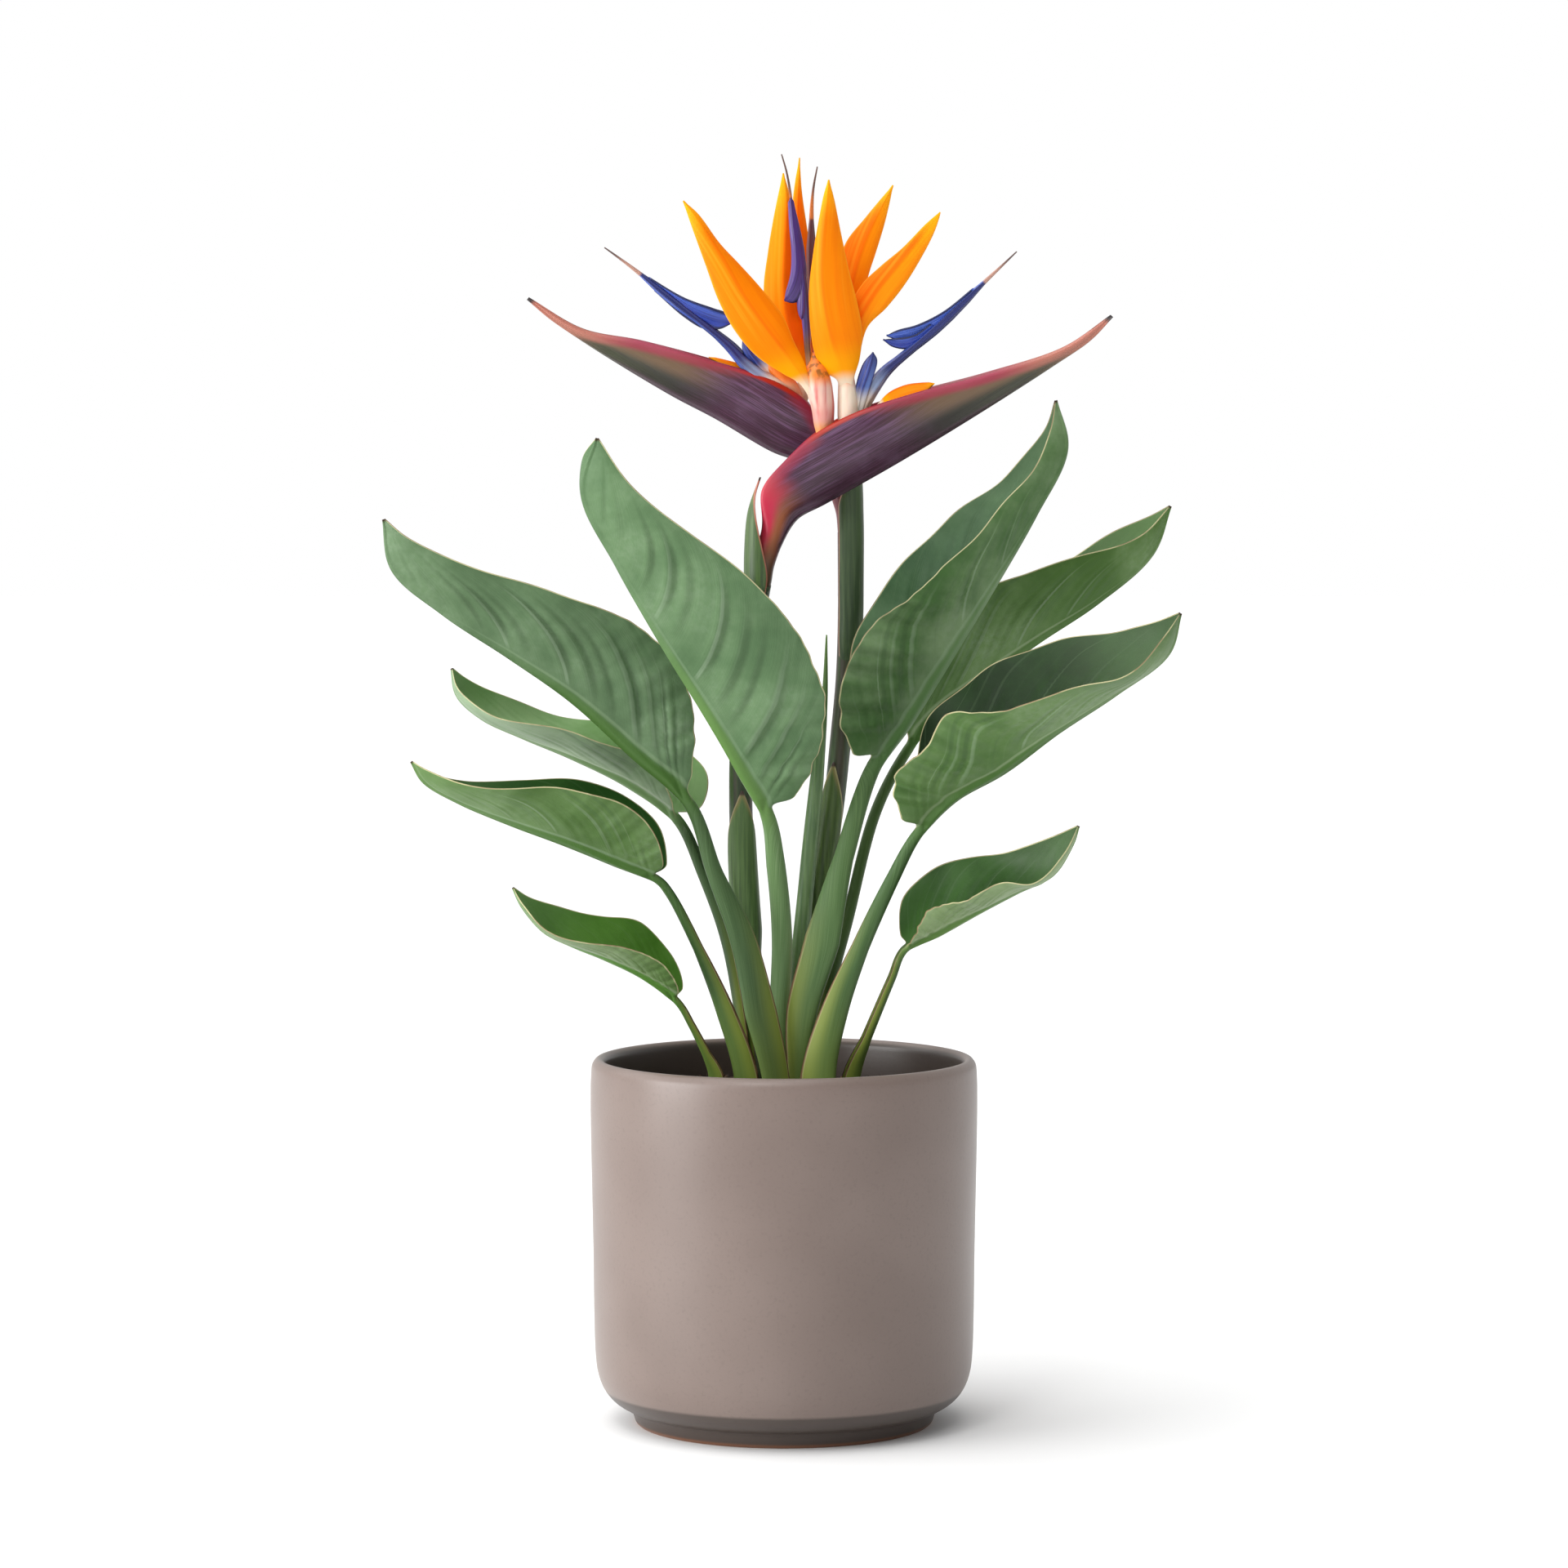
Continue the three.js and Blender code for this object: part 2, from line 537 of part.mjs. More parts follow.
// A bract: a pointed sheath that wraps an axis. It faces a compass angle and spreads to both sides
// of it, and its radii and spreads are even steps from its foot to its tip.
const BRACT_STEPS = 7;
const BRACT_COLUMNS = 7;
const BRACT_THICKNESS = 1;
function bract({ axis, radii, facing, spreads }) {
  const curve = smoothCurve(axis);
  const ring = (share, extra) => {
    const centre = curve.getPointAt(share);
    const radius = valueAt(radii, share * (radii.length - 1)) + extra;
    const spread = valueAt(spreads, share * (spreads.length - 1));
    return Array.from({ length: BRACT_COLUMNS }, (_, j) => {
      const turn = (2 * j) / (BRACT_COLUMNS - 1) - 1;
      const angle = THREE.MathUtils.degToRad(facing + turn * spread);
      return centre.clone().add(new THREE.Vector3(radius * Math.cos(angle), radius * Math.sin(angle), 0));
    });
  };
  const shares = Array.from({ length: BRACT_STEPS + 1 }, (_, i) => i / BRACT_STEPS);
  const inner = shares.map((share) => ring(share, 0));
  const outer = shares.map((share) => ring(share, BRACT_THICKNESS));
  return solidBetween(inner, outer);
}

const bracts = {
  bract_left_upper: {
    axis: [[-14.5, 13, 399], [-12, 9, 414.5], [-11.4, 9, 430], [-11, 9, 448], [-9.6, 9, 466]],
    radii: [6.4, 6.9, 7.2, 6.4, 4],
    facing: 190,
    spreads: [112, 110, 84, 52, 4],
  },
  bract_left_lower: {
    axis: [[-17, 25, 225], [-19, 25, 250], [-20.6, 25, 275], [-21.3, 25, 293], [-21.4, 24, 311]],
    radii: [6.6, 6.6, 6.6, 6.7, 6.9],
    facing: 275,
    spreads: [120, 115, 100, 70, 4],
  },
  bract_right_upper: {
    axis: [[32.4, 29, 397], [32.4, 29.4, 415], [32.4, 30, 435], [32, 30, 448], [31, 30, 462]],
    radii: [6.1, 6.2, 6.3, 6.6, 6.8],
    facing: 330,
    spreads: [115, 110, 100, 80, 6],
  },
  bract_right_lower: {
    axis: [[14, 28, 236], [18, 28, 264], [22, 28, 288], [25, 28, 306], [27.5, 28, 325]],
    radii: [5.9, 5.9, 5.9, 6, 6.2],
    facing: 245,
    spreads: [120, 115, 100, 70, 4],
  },
};
Object.entries(bracts).forEach(([name, shape]) => addPiece(name, bract(shape), STALK_GREEN, 0.5));

// The spathes: boat-shaped beaks that leave their stalks at a bend. Each is folded along its lower
// edge, and its upper margins part above the bend for the flowers.
const CHANNEL_DEPTH = 8;
const SPATHE_STEPS = [0, 0.05, 0.1, 0.15, 0.2, 0.26, 0.33, 0.41, 0.5, 0.59, 0.69, 0.8, 0.91, 0.988];
const spatheOpening = (s) => 0.8 + CHANNEL_DEPTH * ease((s - 0.18) / 0.1) * (1 - ease((s - 0.48) / 0.16));
const spathes = {
  spathe_front: {
    stem: [[-12, 9, 415.6]],
    deep: [6, 6],
    wide: [5.4, 6],
    keel: [[-10.5, 9, 424], [-6, 9, 435], [4, 9, 447], [20, 9, 455], [52, 9, 472.5], [91, 8, 496],
      [131, 6, 521.5], [150, 4, 534.5], [161, 2, 545.4]],
    near: [[-13, 3.4, 441], [-10, 3, 460], [0.5, 2, 473], [15, 0, 486], [34, -1, 496.3], [64, 0, 506.3],
      [101, 2, 516.3], [137.5, 3, 529]],
    far: [[-13, 14.6, 441], [-10, 15, 460], [0.5, 16, 473], [15, 18, 487], [34, 19, 498], [64, 17, 507.6],
      [101, 11, 517.4], [137.5, 6, 529.5]],
  },
  spathe_back: {
    stem: [[32.4, 30, 440.4]],
    deep: [5.8, 5.8],
    wide: [5.8, 6],
    keel: [[30.8, 30, 452], [24, 31, 466], [8, 32, 476], [-5, 32, 480.5], [-34, 32, 497], [-55, 32, 508],
      [-94, 31, 531.5], [-115, 29, 545.5], [-127.3, 28, 555.1]],
    near: [[31, 25, 468], [25, 24, 482], [17, 23, 494], [9.7, 22, 504], [-8, 23, 514.2], [-36, 25, 523.2],
      [-71, 27, 533], [-100, 28, 539]],
    far: [[31, 37, 468], [25, 38, 482], [17, 40, 494], [9.7, 41, 505.5], [-8, 40, 515.6], [-36, 37, 524.4],
      [-71, 33, 533.5], [-100, 30, 539.5]],
  },
};
Object.entries(spathes).forEach(([name, shape]) => {
  const geometry = blade({
    ...shape, steps: SPATHE_STEPS, join: 0.16, bulge: 0.14, thickness: 1.6, rib: 0.9, ribFade: 10,
    channel: spatheOpening,
  });
  addPiece(name, geometry, SPATHE_PURPLE, 0.4);
});

// The floral tubes that carry the sepals, standing in the spathes' openings.
const floralTubes = {
  floral_tube_pink: { path: [[20.5, 8, 484], [18.5, 7.4, 490], [17, 6.6, 500], [15.8, 6.4, 511]],
    radii: [2.6, 3.4, 4.8, 5.4], color: TUBE_PINK },
  floral_tube_cream: { path: [[33, 9, 491], [31.8, 9, 497], [31, 9, 505], [31, 9, 513]],
    radii: [3.6, 3.8, 3.6, 3.4], color: TUBE_CREAM },
  floral_tube_back: { path: [[9.4, 31, 499.5], [8, 30, 504], [5, 28.4, 508.4], [1.6, 27.2, 511.8]],
    radii: [2.6, 3.2, 3.4, 3.2], color: TUBE_CREAM },
};
Object.entries(floralTubes).forEach(([name, shape]) => {
  addPiece(name, tube({ ...shape, sides: 10, steps: 5 }), shape.color, 0.45);
});

// The sepals: long pointed blades with a soft lengthwise fold.
const SEPAL_STEPS = [0, 0.07, 0.17, 0.29, 0.42, 0.55, 0.68, 0.81, 0.92, 0.988];
const sepals = {
  sepal_front_left: {
    keel: [[11.2, 3, 511.4], [2, -1, 524.6], [-8, -4, 538], [-20, -7, 555], [-30, -9, 572], [-41, -9, 589],
      [-49.3, -8, 600.4]],
    near: [[8, 4, 511.6], [-1, 3, 517], [-13, 1, 525], [-23.5, -2, 537], [-31.5, -4, 551.5], [-38, -6, 569],
      [-44, -7, 585.4]],
    far: [[13, 4, 513], [10, 3, 521.6], [5, 2, 531.5], [-1, 0, 545], [-11, -2, 557.5], [-21.5, -4, 569],
      [-31.5, -6, 579.5], [-42, -7, 593.7]],
  },
  sepal_centre_left: {
    keel: [[12.6, 9, 511.4], [6.4, 9, 528], [1.6, 9, 544], [0, 9, 558], [0.4, 10, 578.5], [1.2, 12, 600],
      [-0.4, 14, 615.5]],
    near: [[9.8, 10, 511.6], [0, 12, 528], [-8, 13, 542], [-9.8, 14, 558.4], [-7.8, 14, 576],
      [-5.2, 14, 592], [-2.4, 14, 606]],
    far: [[15, 10, 511.6], [12.8, 12, 532], [8.8, 13, 548], [6.8, 14, 564], [5.2, 14, 580], [3.6, 15, 596],
      [1.6, 15, 608]],
  },
  sepal_back: {
    keel: [[10.2, 28, 511.6], [8.1, 26, 528.4], [7.3, 25, 548.5], [6.9, 25, 568.6], [6.5, 26, 588.7],
      [6.9, 28, 607], [7.7, 30, 624.3]],
    near: [[7, 28.6, 511.6], [2.4, 28, 528.5], [0.8, 27, 548.6], [1.2, 27, 568.7], [3.2, 28, 589],
      [5.2, 29, 609]],
    far: [[13.6, 28.6, 511.6], [15.4, 28, 528.5], [15.8, 27, 548.6], [14.5, 27, 568.7], [11.3, 28, 589],
      [8.5, 29, 609]],
  },
  sepal_front_right: {
    keel: [[30, 5, 513.6], [26.4, 1, 523.5], [22, -3, 539.2], [19, -6, 559], [19, -8, 578.6],
      [20.7, -9, 598.3], [21.8, -9, 610.6]],
    near: [[26.4, 5.6, 513.6], [22.4, 5, 518], [18, 3, 528.7], [14.4, 1, 542.2], [12.8, -1, 559.6],
      [14.7, -4, 575], [17.1, -6, 590.6], [20, -8, 605]],
    far: [[34, 5.6, 513.6], [36.8, 5, 523.6], [38, 3, 536.7], [36, 1, 549.4], [31.5, -2, 566.7],
      [28, -4, 582.8], [24.3, -7, 600.8]],
  },
  sepal_right_upper: {
    keel: [[31, 11.8, 513.6], [30.5, 14, 532], [31.3, 15, 548], [34.6, 17, 564], [39.4, 20, 580.3],
      [46.7, 24, 596.6], [54, 27, 610.5]],
    near: [[28.5, 12.4, 513.8], [25.7, 16, 532], [24.5, 18, 548], [25.8, 20, 564.3], [30.6, 22, 581.3],
      [40.3, 25, 594], [49.6, 27, 605.2]],
    far: [[33.4, 12.4, 513.8], [35.8, 16, 532], [37.8, 18, 548], [41.5, 20, 565.5], [45, 22, 576.4],
      [49.6, 25, 591.5], [52.4, 27, 603.2]],
  },
  sepal_right_lower: {
    keel: [[32, 8.2, 513.6], [33, 8, 527.7], [37, 7, 541.7], [45.6, 6, 556.4], [56, 4, 569.4],
      [67, 3, 583.3], [76.6, 2, 595.5]],
    near: [[29.7, 8.8, 513.8], [29, 9, 529.8], [31, 9, 545.7], [38, 8, 559.7], [47.6, 7, 569.2],
      [58, 5, 577.8], [70, 3, 590]],
    far: [[34.3, 8.8, 513.8], [37.3, 9, 527.8], [41, 9, 539.8], [50, 8, 549], [58.5, 7, 559.6],
      [66, 5, 571.5], [73.5, 3, 586]],
  },
  sepal_bud_left: {
    keel: [[-4, 32.5, 511.6], [-10, 32, 516.6], [-17, 31.6, 520], [-25, 31, 522.6], [-37.5, 31, 525.6]],
    near: [[-5, 30, 508.6], [-11, 29.4, 512], [-19, 29.2, 515.6], [-28, 29.4, 520.4]],
    far: [[-5, 35, 508.6], [-11, 35, 512], [-19, 34.6, 515.6], [-28, 33, 520.4]],
  },
  sepal_bud_right: {
    keel: [[46, 9, 501], [52, 9, 507], [60, 8.6, 510.6], [67, 8.4, 511.6], [74, 8, 511.9]],
    near: [[47, 6, 497.5], [53, 5.4, 500], [61, 5.4, 503.5], [68, 6, 507]],
    far: [[47, 12, 497.5], [53, 12.4, 500], [61, 12, 503.5], [68, 11, 507]],
  },
};
Object.entries(sepals).forEach(([name, shape]) => {
  const geometry = blade({
    ...shape, steps: SEPAL_STEPS, halfPlaces: SEPAL_PLACES, thickness: SEPAL_THICKNESS, bulge: 0.05,
  });
  addPiece(name, geometry, SEPAL_ORANGE, 0.45);
});

// The short blue petals beside the tubes.
const PETAL_STEPS = [0, 0.2, 0.4, 0.6, 0.8, 0.97];
const petals = {
  petal_left: {
    keel: [[-6.5, 29.8, 515.5], [-12, 30, 521], [-17, 29.6, 527.5], [-20, 28.8, 534]],
    near: [[-8.9, 30, 515.5], [-15.3, 30.2, 521], [-19.4, 29.8, 528.3]],
    far: [[-3.8, 30.2, 519.4], [-7.2, 30.4, 527.4], [-14.4, 29.8, 532]],
  },
  petal_right: {
    keel: [[38.2, 8.2, 497], [39.4, 7.8, 508], [41.2, 6, 518], [43.6, 4, 526.8]],
    near: [[36.2, 8.4, 498], [36.4, 8.2, 510], [39.4, 6.4, 521.7]],
    far: [[40.4, 8.4, 498], [44.6, 8.2, 514], [45.7, 6.4, 523.3]],
  },
};
Object.entries(petals).forEach(([name, shape]) => {
  const geometry = blade({
    ...shape, steps: PETAL_STEPS, halfPlaces: SEPAL_PLACES, thickness: SEPAL_THICKNESS,
  });
  addPiece(name, geometry, PETAL_BLUE, 0.45);
});

// The arrow-shaped petals: a slim shaft that swells into a grooved head with backward lobes and ends
// in a fine style.
const arrows = {
  arrow_left: {
    path: [[1.2, 26.9, 512.3], [-3, 26.3, 515.8], [-10, 26, 520], [-19, 26, 525.3], [-27, 26.2, 532],
      [-35.5, 26, 538.5], [-48.5, 26, 548.5], [-61.3, 25, 558.5], [-71.8, 25, 567], [-80.3, 25, 573.4],
      [-88.7, 25, 579.4]],
    radii: [3, 2.8, 2.6, 2.1, 1.8, 1.9, 2.4, 2.2, 1.1, 0.7, 0.4],
    lobes: [{
      keel: [[-68.6, 25, 564.6], [-57.3, 24, 556.5], [-44.4, 24, 548], [-34, 24, 543.6], [-25.4, 24, 542.4]],
      near: [[-66, 23.6, 564], [-49.2, 22, 554.4], [-34.7, 22, 549.2], [-28.2, 23, 546.8]],
      far: [[-64, 26, 558], [-49.3, 26, 545.3], [-39.6, 26, 539.7], [-31.5, 25, 539.6]],
    }],
  },
  arrow_centre: {
    path: [[13.4, 6, 511.4], [11.6, 5, 527.6], [10.8, 3, 539.5], [9.6, 1, 555.3], [8, 1, 569.2],
      [6, 2, 583.2], [4, 3, 597.2], [2.8, 4, 606.4], [1.2, 4, 615.1], [-1.2, 4, 623.5]],
    radii: [1.3, 1.3, 1.6, 2, 2, 1.8, 1.2, 0.8, 0.6, 0.4],
    lobes: [{
      keel: [[4.4, 3, 594.4], [5.6, 0, 581], [6, -1, 567], [4.4, -1, 557.2], [1.4, 0, 549]],
      near: [[3.4, 3, 592], [4.4, 2, 581.2], [4, 2, 567.3], [2, 2, 557.4], [0.4, 1, 551.7]],
      far: [[6.4, 3, 592.8], [9.2, 2, 581.2], [10.4, 2, 567.3], [8, 2, 555.4], [4.4, 1, 549.4]],
    }],
  },
  arrow_right: {
    path: [[38.6, 12, 495], [41, 12, 503], [45.4, 12, 511.5], [51, 12, 518], [58.2, 12, 524.3],
      [67, 12, 532.3], [76.3, 12, 540.3], [87.5, 12, 551], [98.3, 12, 561.5], [106.3, 12, 569],
      [114.3, 12, 576.6]],
    radii: [2, 2.6, 2.4, 2, 1.9, 2.3, 2.3, 1.9, 1, 0.7, 0.4],
    lobes: [{
      keel: [[95.5, 12, 559], [82, 11, 547], [70, 11, 539], [59.4, 11, 536], [50.2, 11, 535.4]],
      near: [[92, 10.6, 557.6], [78, 9, 546.8], [65, 9, 540.4], [56, 9.6, 538]],
      far: [[92, 13, 553.6], [79.5, 13, 541.5], [66.3, 13, 533], [56, 12.4, 533.6]],
    }, {
      keel: [[74, 11, 540], [66, 11, 534], [58, 11, 531.4], [48.6, 11, 533.4]],
      near: [[72, 10, 541], [64, 9.6, 535.6], [55, 10, 534]],
      far: [[74, 12.4, 537], [64, 12.4, 529.6], [54, 12, 530]],
    }],
  },
  arrow_back: {
    path: [[12.8, 26.4, 511.6], [13.6, 24, 528], [14.5, 21, 548.3], [14.5, 19, 572.3], [14.5, 19, 586.3],
      [14.5, 19, 600.3], [14.9, 20, 609], [16.5, 21, 618.8]],
    radii: [1.2, 1.2, 1.4, 2, 2.2, 1.2, 0.7, 0.4],
    lobes: [],
    color: PETAL_BROWN,
  },
};
const LOBE_STEPS = [0, 0.25, 0.5, 0.75, 0.9, 0.98];
Object.entries(arrows).forEach(([name, { path, radii, lobes, color = PETAL_BLUE }]) => {
  const shaft = tube({ path, radii, sides: 8, steps: 11 });
  const flanks = lobes.map((lobe) => blade({
    ...lobe, steps: LOBE_STEPS, halfPlaces: SEPAL_PLACES, thickness: SEPAL_THICKNESS, bulge: 0.12,
  }));
  addPiece(name, joined([shaft, ...flanks]), color, 0.45);
});

export default scene;
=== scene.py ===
"""The looks of a potted bird of paradise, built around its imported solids.

Metres, +Z up; the plant's front faces -Y. Shapes and the measures that pieces carry are in millimetres,
as on the plant. Shapes become metres where their points enter a mesh, and materials read places in metres.
"""
import math

import bpy
import numpy as np
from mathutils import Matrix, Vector


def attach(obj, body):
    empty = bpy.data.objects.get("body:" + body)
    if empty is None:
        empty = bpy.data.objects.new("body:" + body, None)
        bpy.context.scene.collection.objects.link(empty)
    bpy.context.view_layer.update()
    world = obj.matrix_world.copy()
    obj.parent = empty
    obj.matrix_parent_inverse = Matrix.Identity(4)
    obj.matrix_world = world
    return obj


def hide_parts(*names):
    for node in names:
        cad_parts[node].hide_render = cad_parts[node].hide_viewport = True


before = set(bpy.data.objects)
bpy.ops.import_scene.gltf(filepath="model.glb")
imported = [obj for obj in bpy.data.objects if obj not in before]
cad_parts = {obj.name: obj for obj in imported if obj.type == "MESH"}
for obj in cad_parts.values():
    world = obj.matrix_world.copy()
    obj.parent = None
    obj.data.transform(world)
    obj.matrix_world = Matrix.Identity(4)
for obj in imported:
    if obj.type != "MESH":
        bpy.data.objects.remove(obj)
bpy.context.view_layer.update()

# ----------------------------------------
# The pot: a straight-sided cover pot on a narrower foot, slip-cast stoneware with a matte taupe
# glaze outside and in. The lip is rounded, and the foot's edge is left with little glaze.
# ----------------------------------------
MM = 0.001
POT_RADIUS = 95
POT_HEIGHT = 180.3
POT_WALL = 7
POT_FLOOR = 10
POT_CORNER = 16
POT_TAPER = 2
FOOT_RADIUS = 73.5
FOOT_HEIGHT = 7.6
POT_SIDES = 192
POT_STEPS = 6
FINE_RELIEF = 0.0003


def linear(hex_colour):
    """An sRGB hex colour as linear light: each channel c becomes ((c + 0.055) / 1.055) ** 2.4."""
    channels = [int(hex_colour[i:i + 2], 16) / 255 for i in (1, 3, 5)]
    return [c / 12.92 if c <= 0.04045 else ((c + 0.055) / 1.055) ** 2.4 for c in channels] + [1.0]


def add_node(tree, kind, inputs=None, output=0, **settings):
    """Adds one node, makes its settings, gives each named input a value or a link, and returns the
    output that is asked for."""
    made = tree.nodes.new("ShaderNode" + kind)
    for name, value in settings.items():
        setattr(made, name, value)
    for name, value in (inputs or {}).items():
        if isinstance(value, bpy.types.NodeSocket):
            tree.links.new(value, made.inputs[name])
        else:
            made.inputs[name].default_value = value
    return made.outputs[output] if made.outputs else None


def start_material(name, *reads):
    """A material with an empty node tree, and what it reads at each point: "place" is the point itself
    in metres, "grain" a measure of three numbers, and any other name a measure of one number."""
    material = bpy.data.materials.new(name)
    material.use_nodes = True
    tree = material.node_tree
    tree.nodes.clear()
    found = []
    for key in reads:
        if key == "place":
            found.append(add_node(tree, "TexCoord", None, "Object"))
        else:
            output = "Vector" if key == "grain" else "Fac"
            found.append(add_node(tree, "Attribute", None, output, attribute_name=key))
    return material, tree, *found


def finish_material(tree, colour, rough, relief=None, more=None):
    """Joins the surface shader to the material's output. `rough` is a number, or a value with the
    roughness where it is 0 and where it is 1. `relief` is a height, its strength and its depth in metres,
    and `more` holds other inputs of the shader."""
    if isinstance(rough, tuple):
        rough = add_node(tree, "MapRange", {"Value": rough[0], "To Min": rough[1], "To Max": rough[2]})
    inputs = {"Base Color": colour, "Roughness": rough, **(more or {})}
    if relief:
        bump = {"Height": relief[0], "Strength": relief[1], "Distance": relief[2]}
        inputs["Normal"] = add_node(tree, "Bump", bump)
    add_node(tree, "OutputMaterial", {"Surface": add_node(tree, "BsdfPrincipled", inputs)})


def layered(tree, base, layers):
    """Paints layers over a colour. Each layer is its own colour, its greatest share, and any number of
    limits: a value, where its share is still nothing, and where it is full, with a smooth step between.
    The mixing node takes the share in socket 0 and the colours in 6 and 7, and gives its colour in 2."""
    colour = linear(base) if isinstance(base, str) else base
    for paint, share, *limits in layers:
        for value, none, full in limits:
            step = {"Value": value, "From Min": none, "From Max": full, "To Max": share}
            share = add_node(tree, "MapRange", step, interpolation_type="SMOOTHSTEP")
        paint = linear(paint) if isinstance(paint, str) else paint
        colour = add_node(tree, "Mix", {0: share, 6: colour, 7: paint}, 2, data_type="RGBA")
    return colour


def closed_rings(rings):
    """Points and faces of a body made of rings of points: four-sided faces between neighbouring rings,
    and at each end a fan of triangles to the middle of the last ring. Where the volume, summed from each
    triangle's corners a, b and c as a . (b x c), comes out negative, all faces are turned outward."""
    rows, columns = rings.shape[:2]
    index = np.arange(rows * columns).reshape(rows, columns)
    ahead = np.roll(index, -1, axis=1)
    quads = np.stack([index[:-1], ahead[:-1], ahead[1:], index[1:]], axis=-1).reshape(-1, 4)
    start, end = rows * columns, rows * columns + 1
    first = np.stack([ahead[0], index[0], np.full(columns, start)], axis=-1)
    last = np.stack([index[-1], ahead[-1], np.full(columns, end)], axis=-1)
    points = np.concatenate([rings.reshape(-1, 3), rings[[0, -1]].mean(axis=1)])
    halves = np.concatenate([quads[:, :3], quads[:, [0, 2, 3]]])
    volume = np.linalg.det(points[halves]).sum()
    faces = quads.tolist() + first.tolist() + last.tolist()
    return points, faces if volume > 0 else [face[::-1] for face in faces]


def add_piece(name, body, material, nodes, measures=None):
    """A smooth mesh piece on the one rigid body, from its points and faces. `measures` holds named
    numbers or triples for each point, which its material reads. `nodes` are the solids that the piece
    stands for."""
    points, faces = body
    mesh = bpy.data.meshes.new(name)
    mesh.from_pydata((points * MM).tolist(), [], faces)
    for key, values in (measures or {}).items():
        kind, field = ("FLOAT", "value") if values.ndim == 1 else ("FLOAT_VECTOR", "vector")
        layer = mesh.attributes.new(key, kind, "POINT")
        layer.data.foreach_set(field, values.astype(np.float32).ravel())
    mesh.polygons.foreach_set("use_smooth", np.ones(len(faces), bool))
    mesh.materials.append(material)
    piece = bpy.data.objects.new(name, mesh)
    bpy.context.scene.collection.objects.link(piece)
    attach(piece, "root")
    if nodes:
        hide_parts(*nodes)


def smooth_points(points, t):
    """Points on a smooth curve through the given ones: a Catmull-Rom spline whose stretches are timed by
    the square root of their length, so it never loops. Each stretch has an equal share of t from 0 to 1."""
    known = np.array(points, float)
    known = np.concatenate([[2 * known[0] - known[1]], known, [2 * known[-1] - known[-2]]])
    gap = np.sqrt(np.linalg.norm(np.diff(known, axis=0), axis=1))[:, None]
    index = np.clip(t * (len(known) - 3), 0, len(known) - 3 - 1e-6)
    k = index.astype(int)
    w = (index - k)[:, None]
    a, b, c, d = known[k], known[k + 1], known[k + 2], known[k + 3]
    d0, d1, d2 = gap[k], gap[k + 1], gap[k + 2]
    slope_b = ((b - a) / d0 - (c - a) / (d0 + d1) + (c - b) / d1) * d1
    slope_c = ((c - b) / d1 - (d - b) / (d1 + d2) + (d - c) / d2) * d1
    bend = 3 * (c - b) - 2 * slope_b - slope_c
    return b + slope_b * w + bend * w ** 2 + (2 * (b - c) + slope_b + slope_c) * w ** 3


def turned(profile, sides):
    """Rings about the Z axis, one for each [radius, height] pair of the profile."""
    angle = np.linspace(0, 2 * np.pi, sides, endpoint=False)
    radius, height = profile[:, :1], profile[:, 1:]
    circle = [radius * np.cos(angle), radius * np.sin(angle), height + 0 * angle]
    return np.stack(circle, axis=-1)


def glaze_material():
    """Matte stoneware glaze, fired in the kiln: taupe with a soft satin gloss, faint mottling where the
    glaze pooled, painted shade inside the pot, and with a warmer, barer line at the foot."""
    material, tree, place = start_material("matte taupe stoneware glaze", "place")
    pools = add_node(tree, "TexNoise", {"Vector": place, "Scale": 14.0, "Detail": 2.0})
    specks = add_node(tree, "TexNoise", {"Vector": place, "Scale": 600.0, "Detail": 3.0})
    fine = add_node(tree, "TexNoise", {"Vector": place, "Scale": 900.0, "Detail": 2.0})
    height = add_node(tree, "SeparateXYZ", {"Vector": place}, "Z")
    flat_place = add_node(tree, "VectorMath", {0: place, 1: (1, 1, 0)}, operation="MULTIPLY")
    away = add_node(tree, "VectorMath", {0: flat_place}, "Value", operation="LENGTH")
    colour = layered(tree, "#7d6e67", [
        ("#75665f", 1.0, (pools, 0.3, 0.75)),
        ("#64564f", 0.3, (specks, 0.5, 0.8)),
        # Painted shade: the inner wall is darkened as if the pot shades it.
        ("#332a24", 0.8, (away, 0.0896, 0.0884)),
        ("#8a5a3c", 0.7, (height, 0.0025, 0.0008)),
    ])
    finish_material(tree, colour, (pools, 0.3, 0.4), (fine, 0.08, FINE_RELIEF))
    return material


pot_inside = POT_RADIUS - POT_WALL
pot_outline = [
    [72.5, 0], [FOOT_RADIUS, 1], [76, FOOT_HEIGHT], [78.5, 8.4], [84.5, 12], [88.8, 17], [91.4, 23],
    [92.9, 31], [94.2, 90], [POT_RADIUS, 174.5], [94.2, 178.1], [92.2, POT_HEIGHT], [90.4, POT_HEIGHT],
    [88.6, 178.3], [pot_inside, 175.5], [pot_inside - POT_TAPER, 40], [pot_inside - 7, 18],
    [pot_inside - POT_CORNER, POT_FLOOR], [0.5, POT_FLOOR],
]
pot_steps = POT_STEPS * (len(pot_outline) - 1)
pot_profile = smooth_points(pot_outline, np.linspace(0, 1, pot_steps + 1))
pot_body = closed_rings(turned(pot_profile, POT_SIDES))
add_piece("glazed_pot", pot_body, glaze_material(), ["pot"])

# ----------------------------------------
# The soil: dark potting mix of bark and fibre, a little below the lip. Its crumbs are loose bits
# of a few millimetres that lie on the mix and against the stems.
# ----------------------------------------
SOIL_LEVEL = 161
SOIL_RELIEF = 1.6
SOIL_FADE = 8
SOIL_RINGS = 90
SOIL_SIDES = 220
CRUMB_COUNT = 1500
CRUMB_SIZE = 1.5
CRUMB_SEED = 11
SOIL_GAP = 0.35


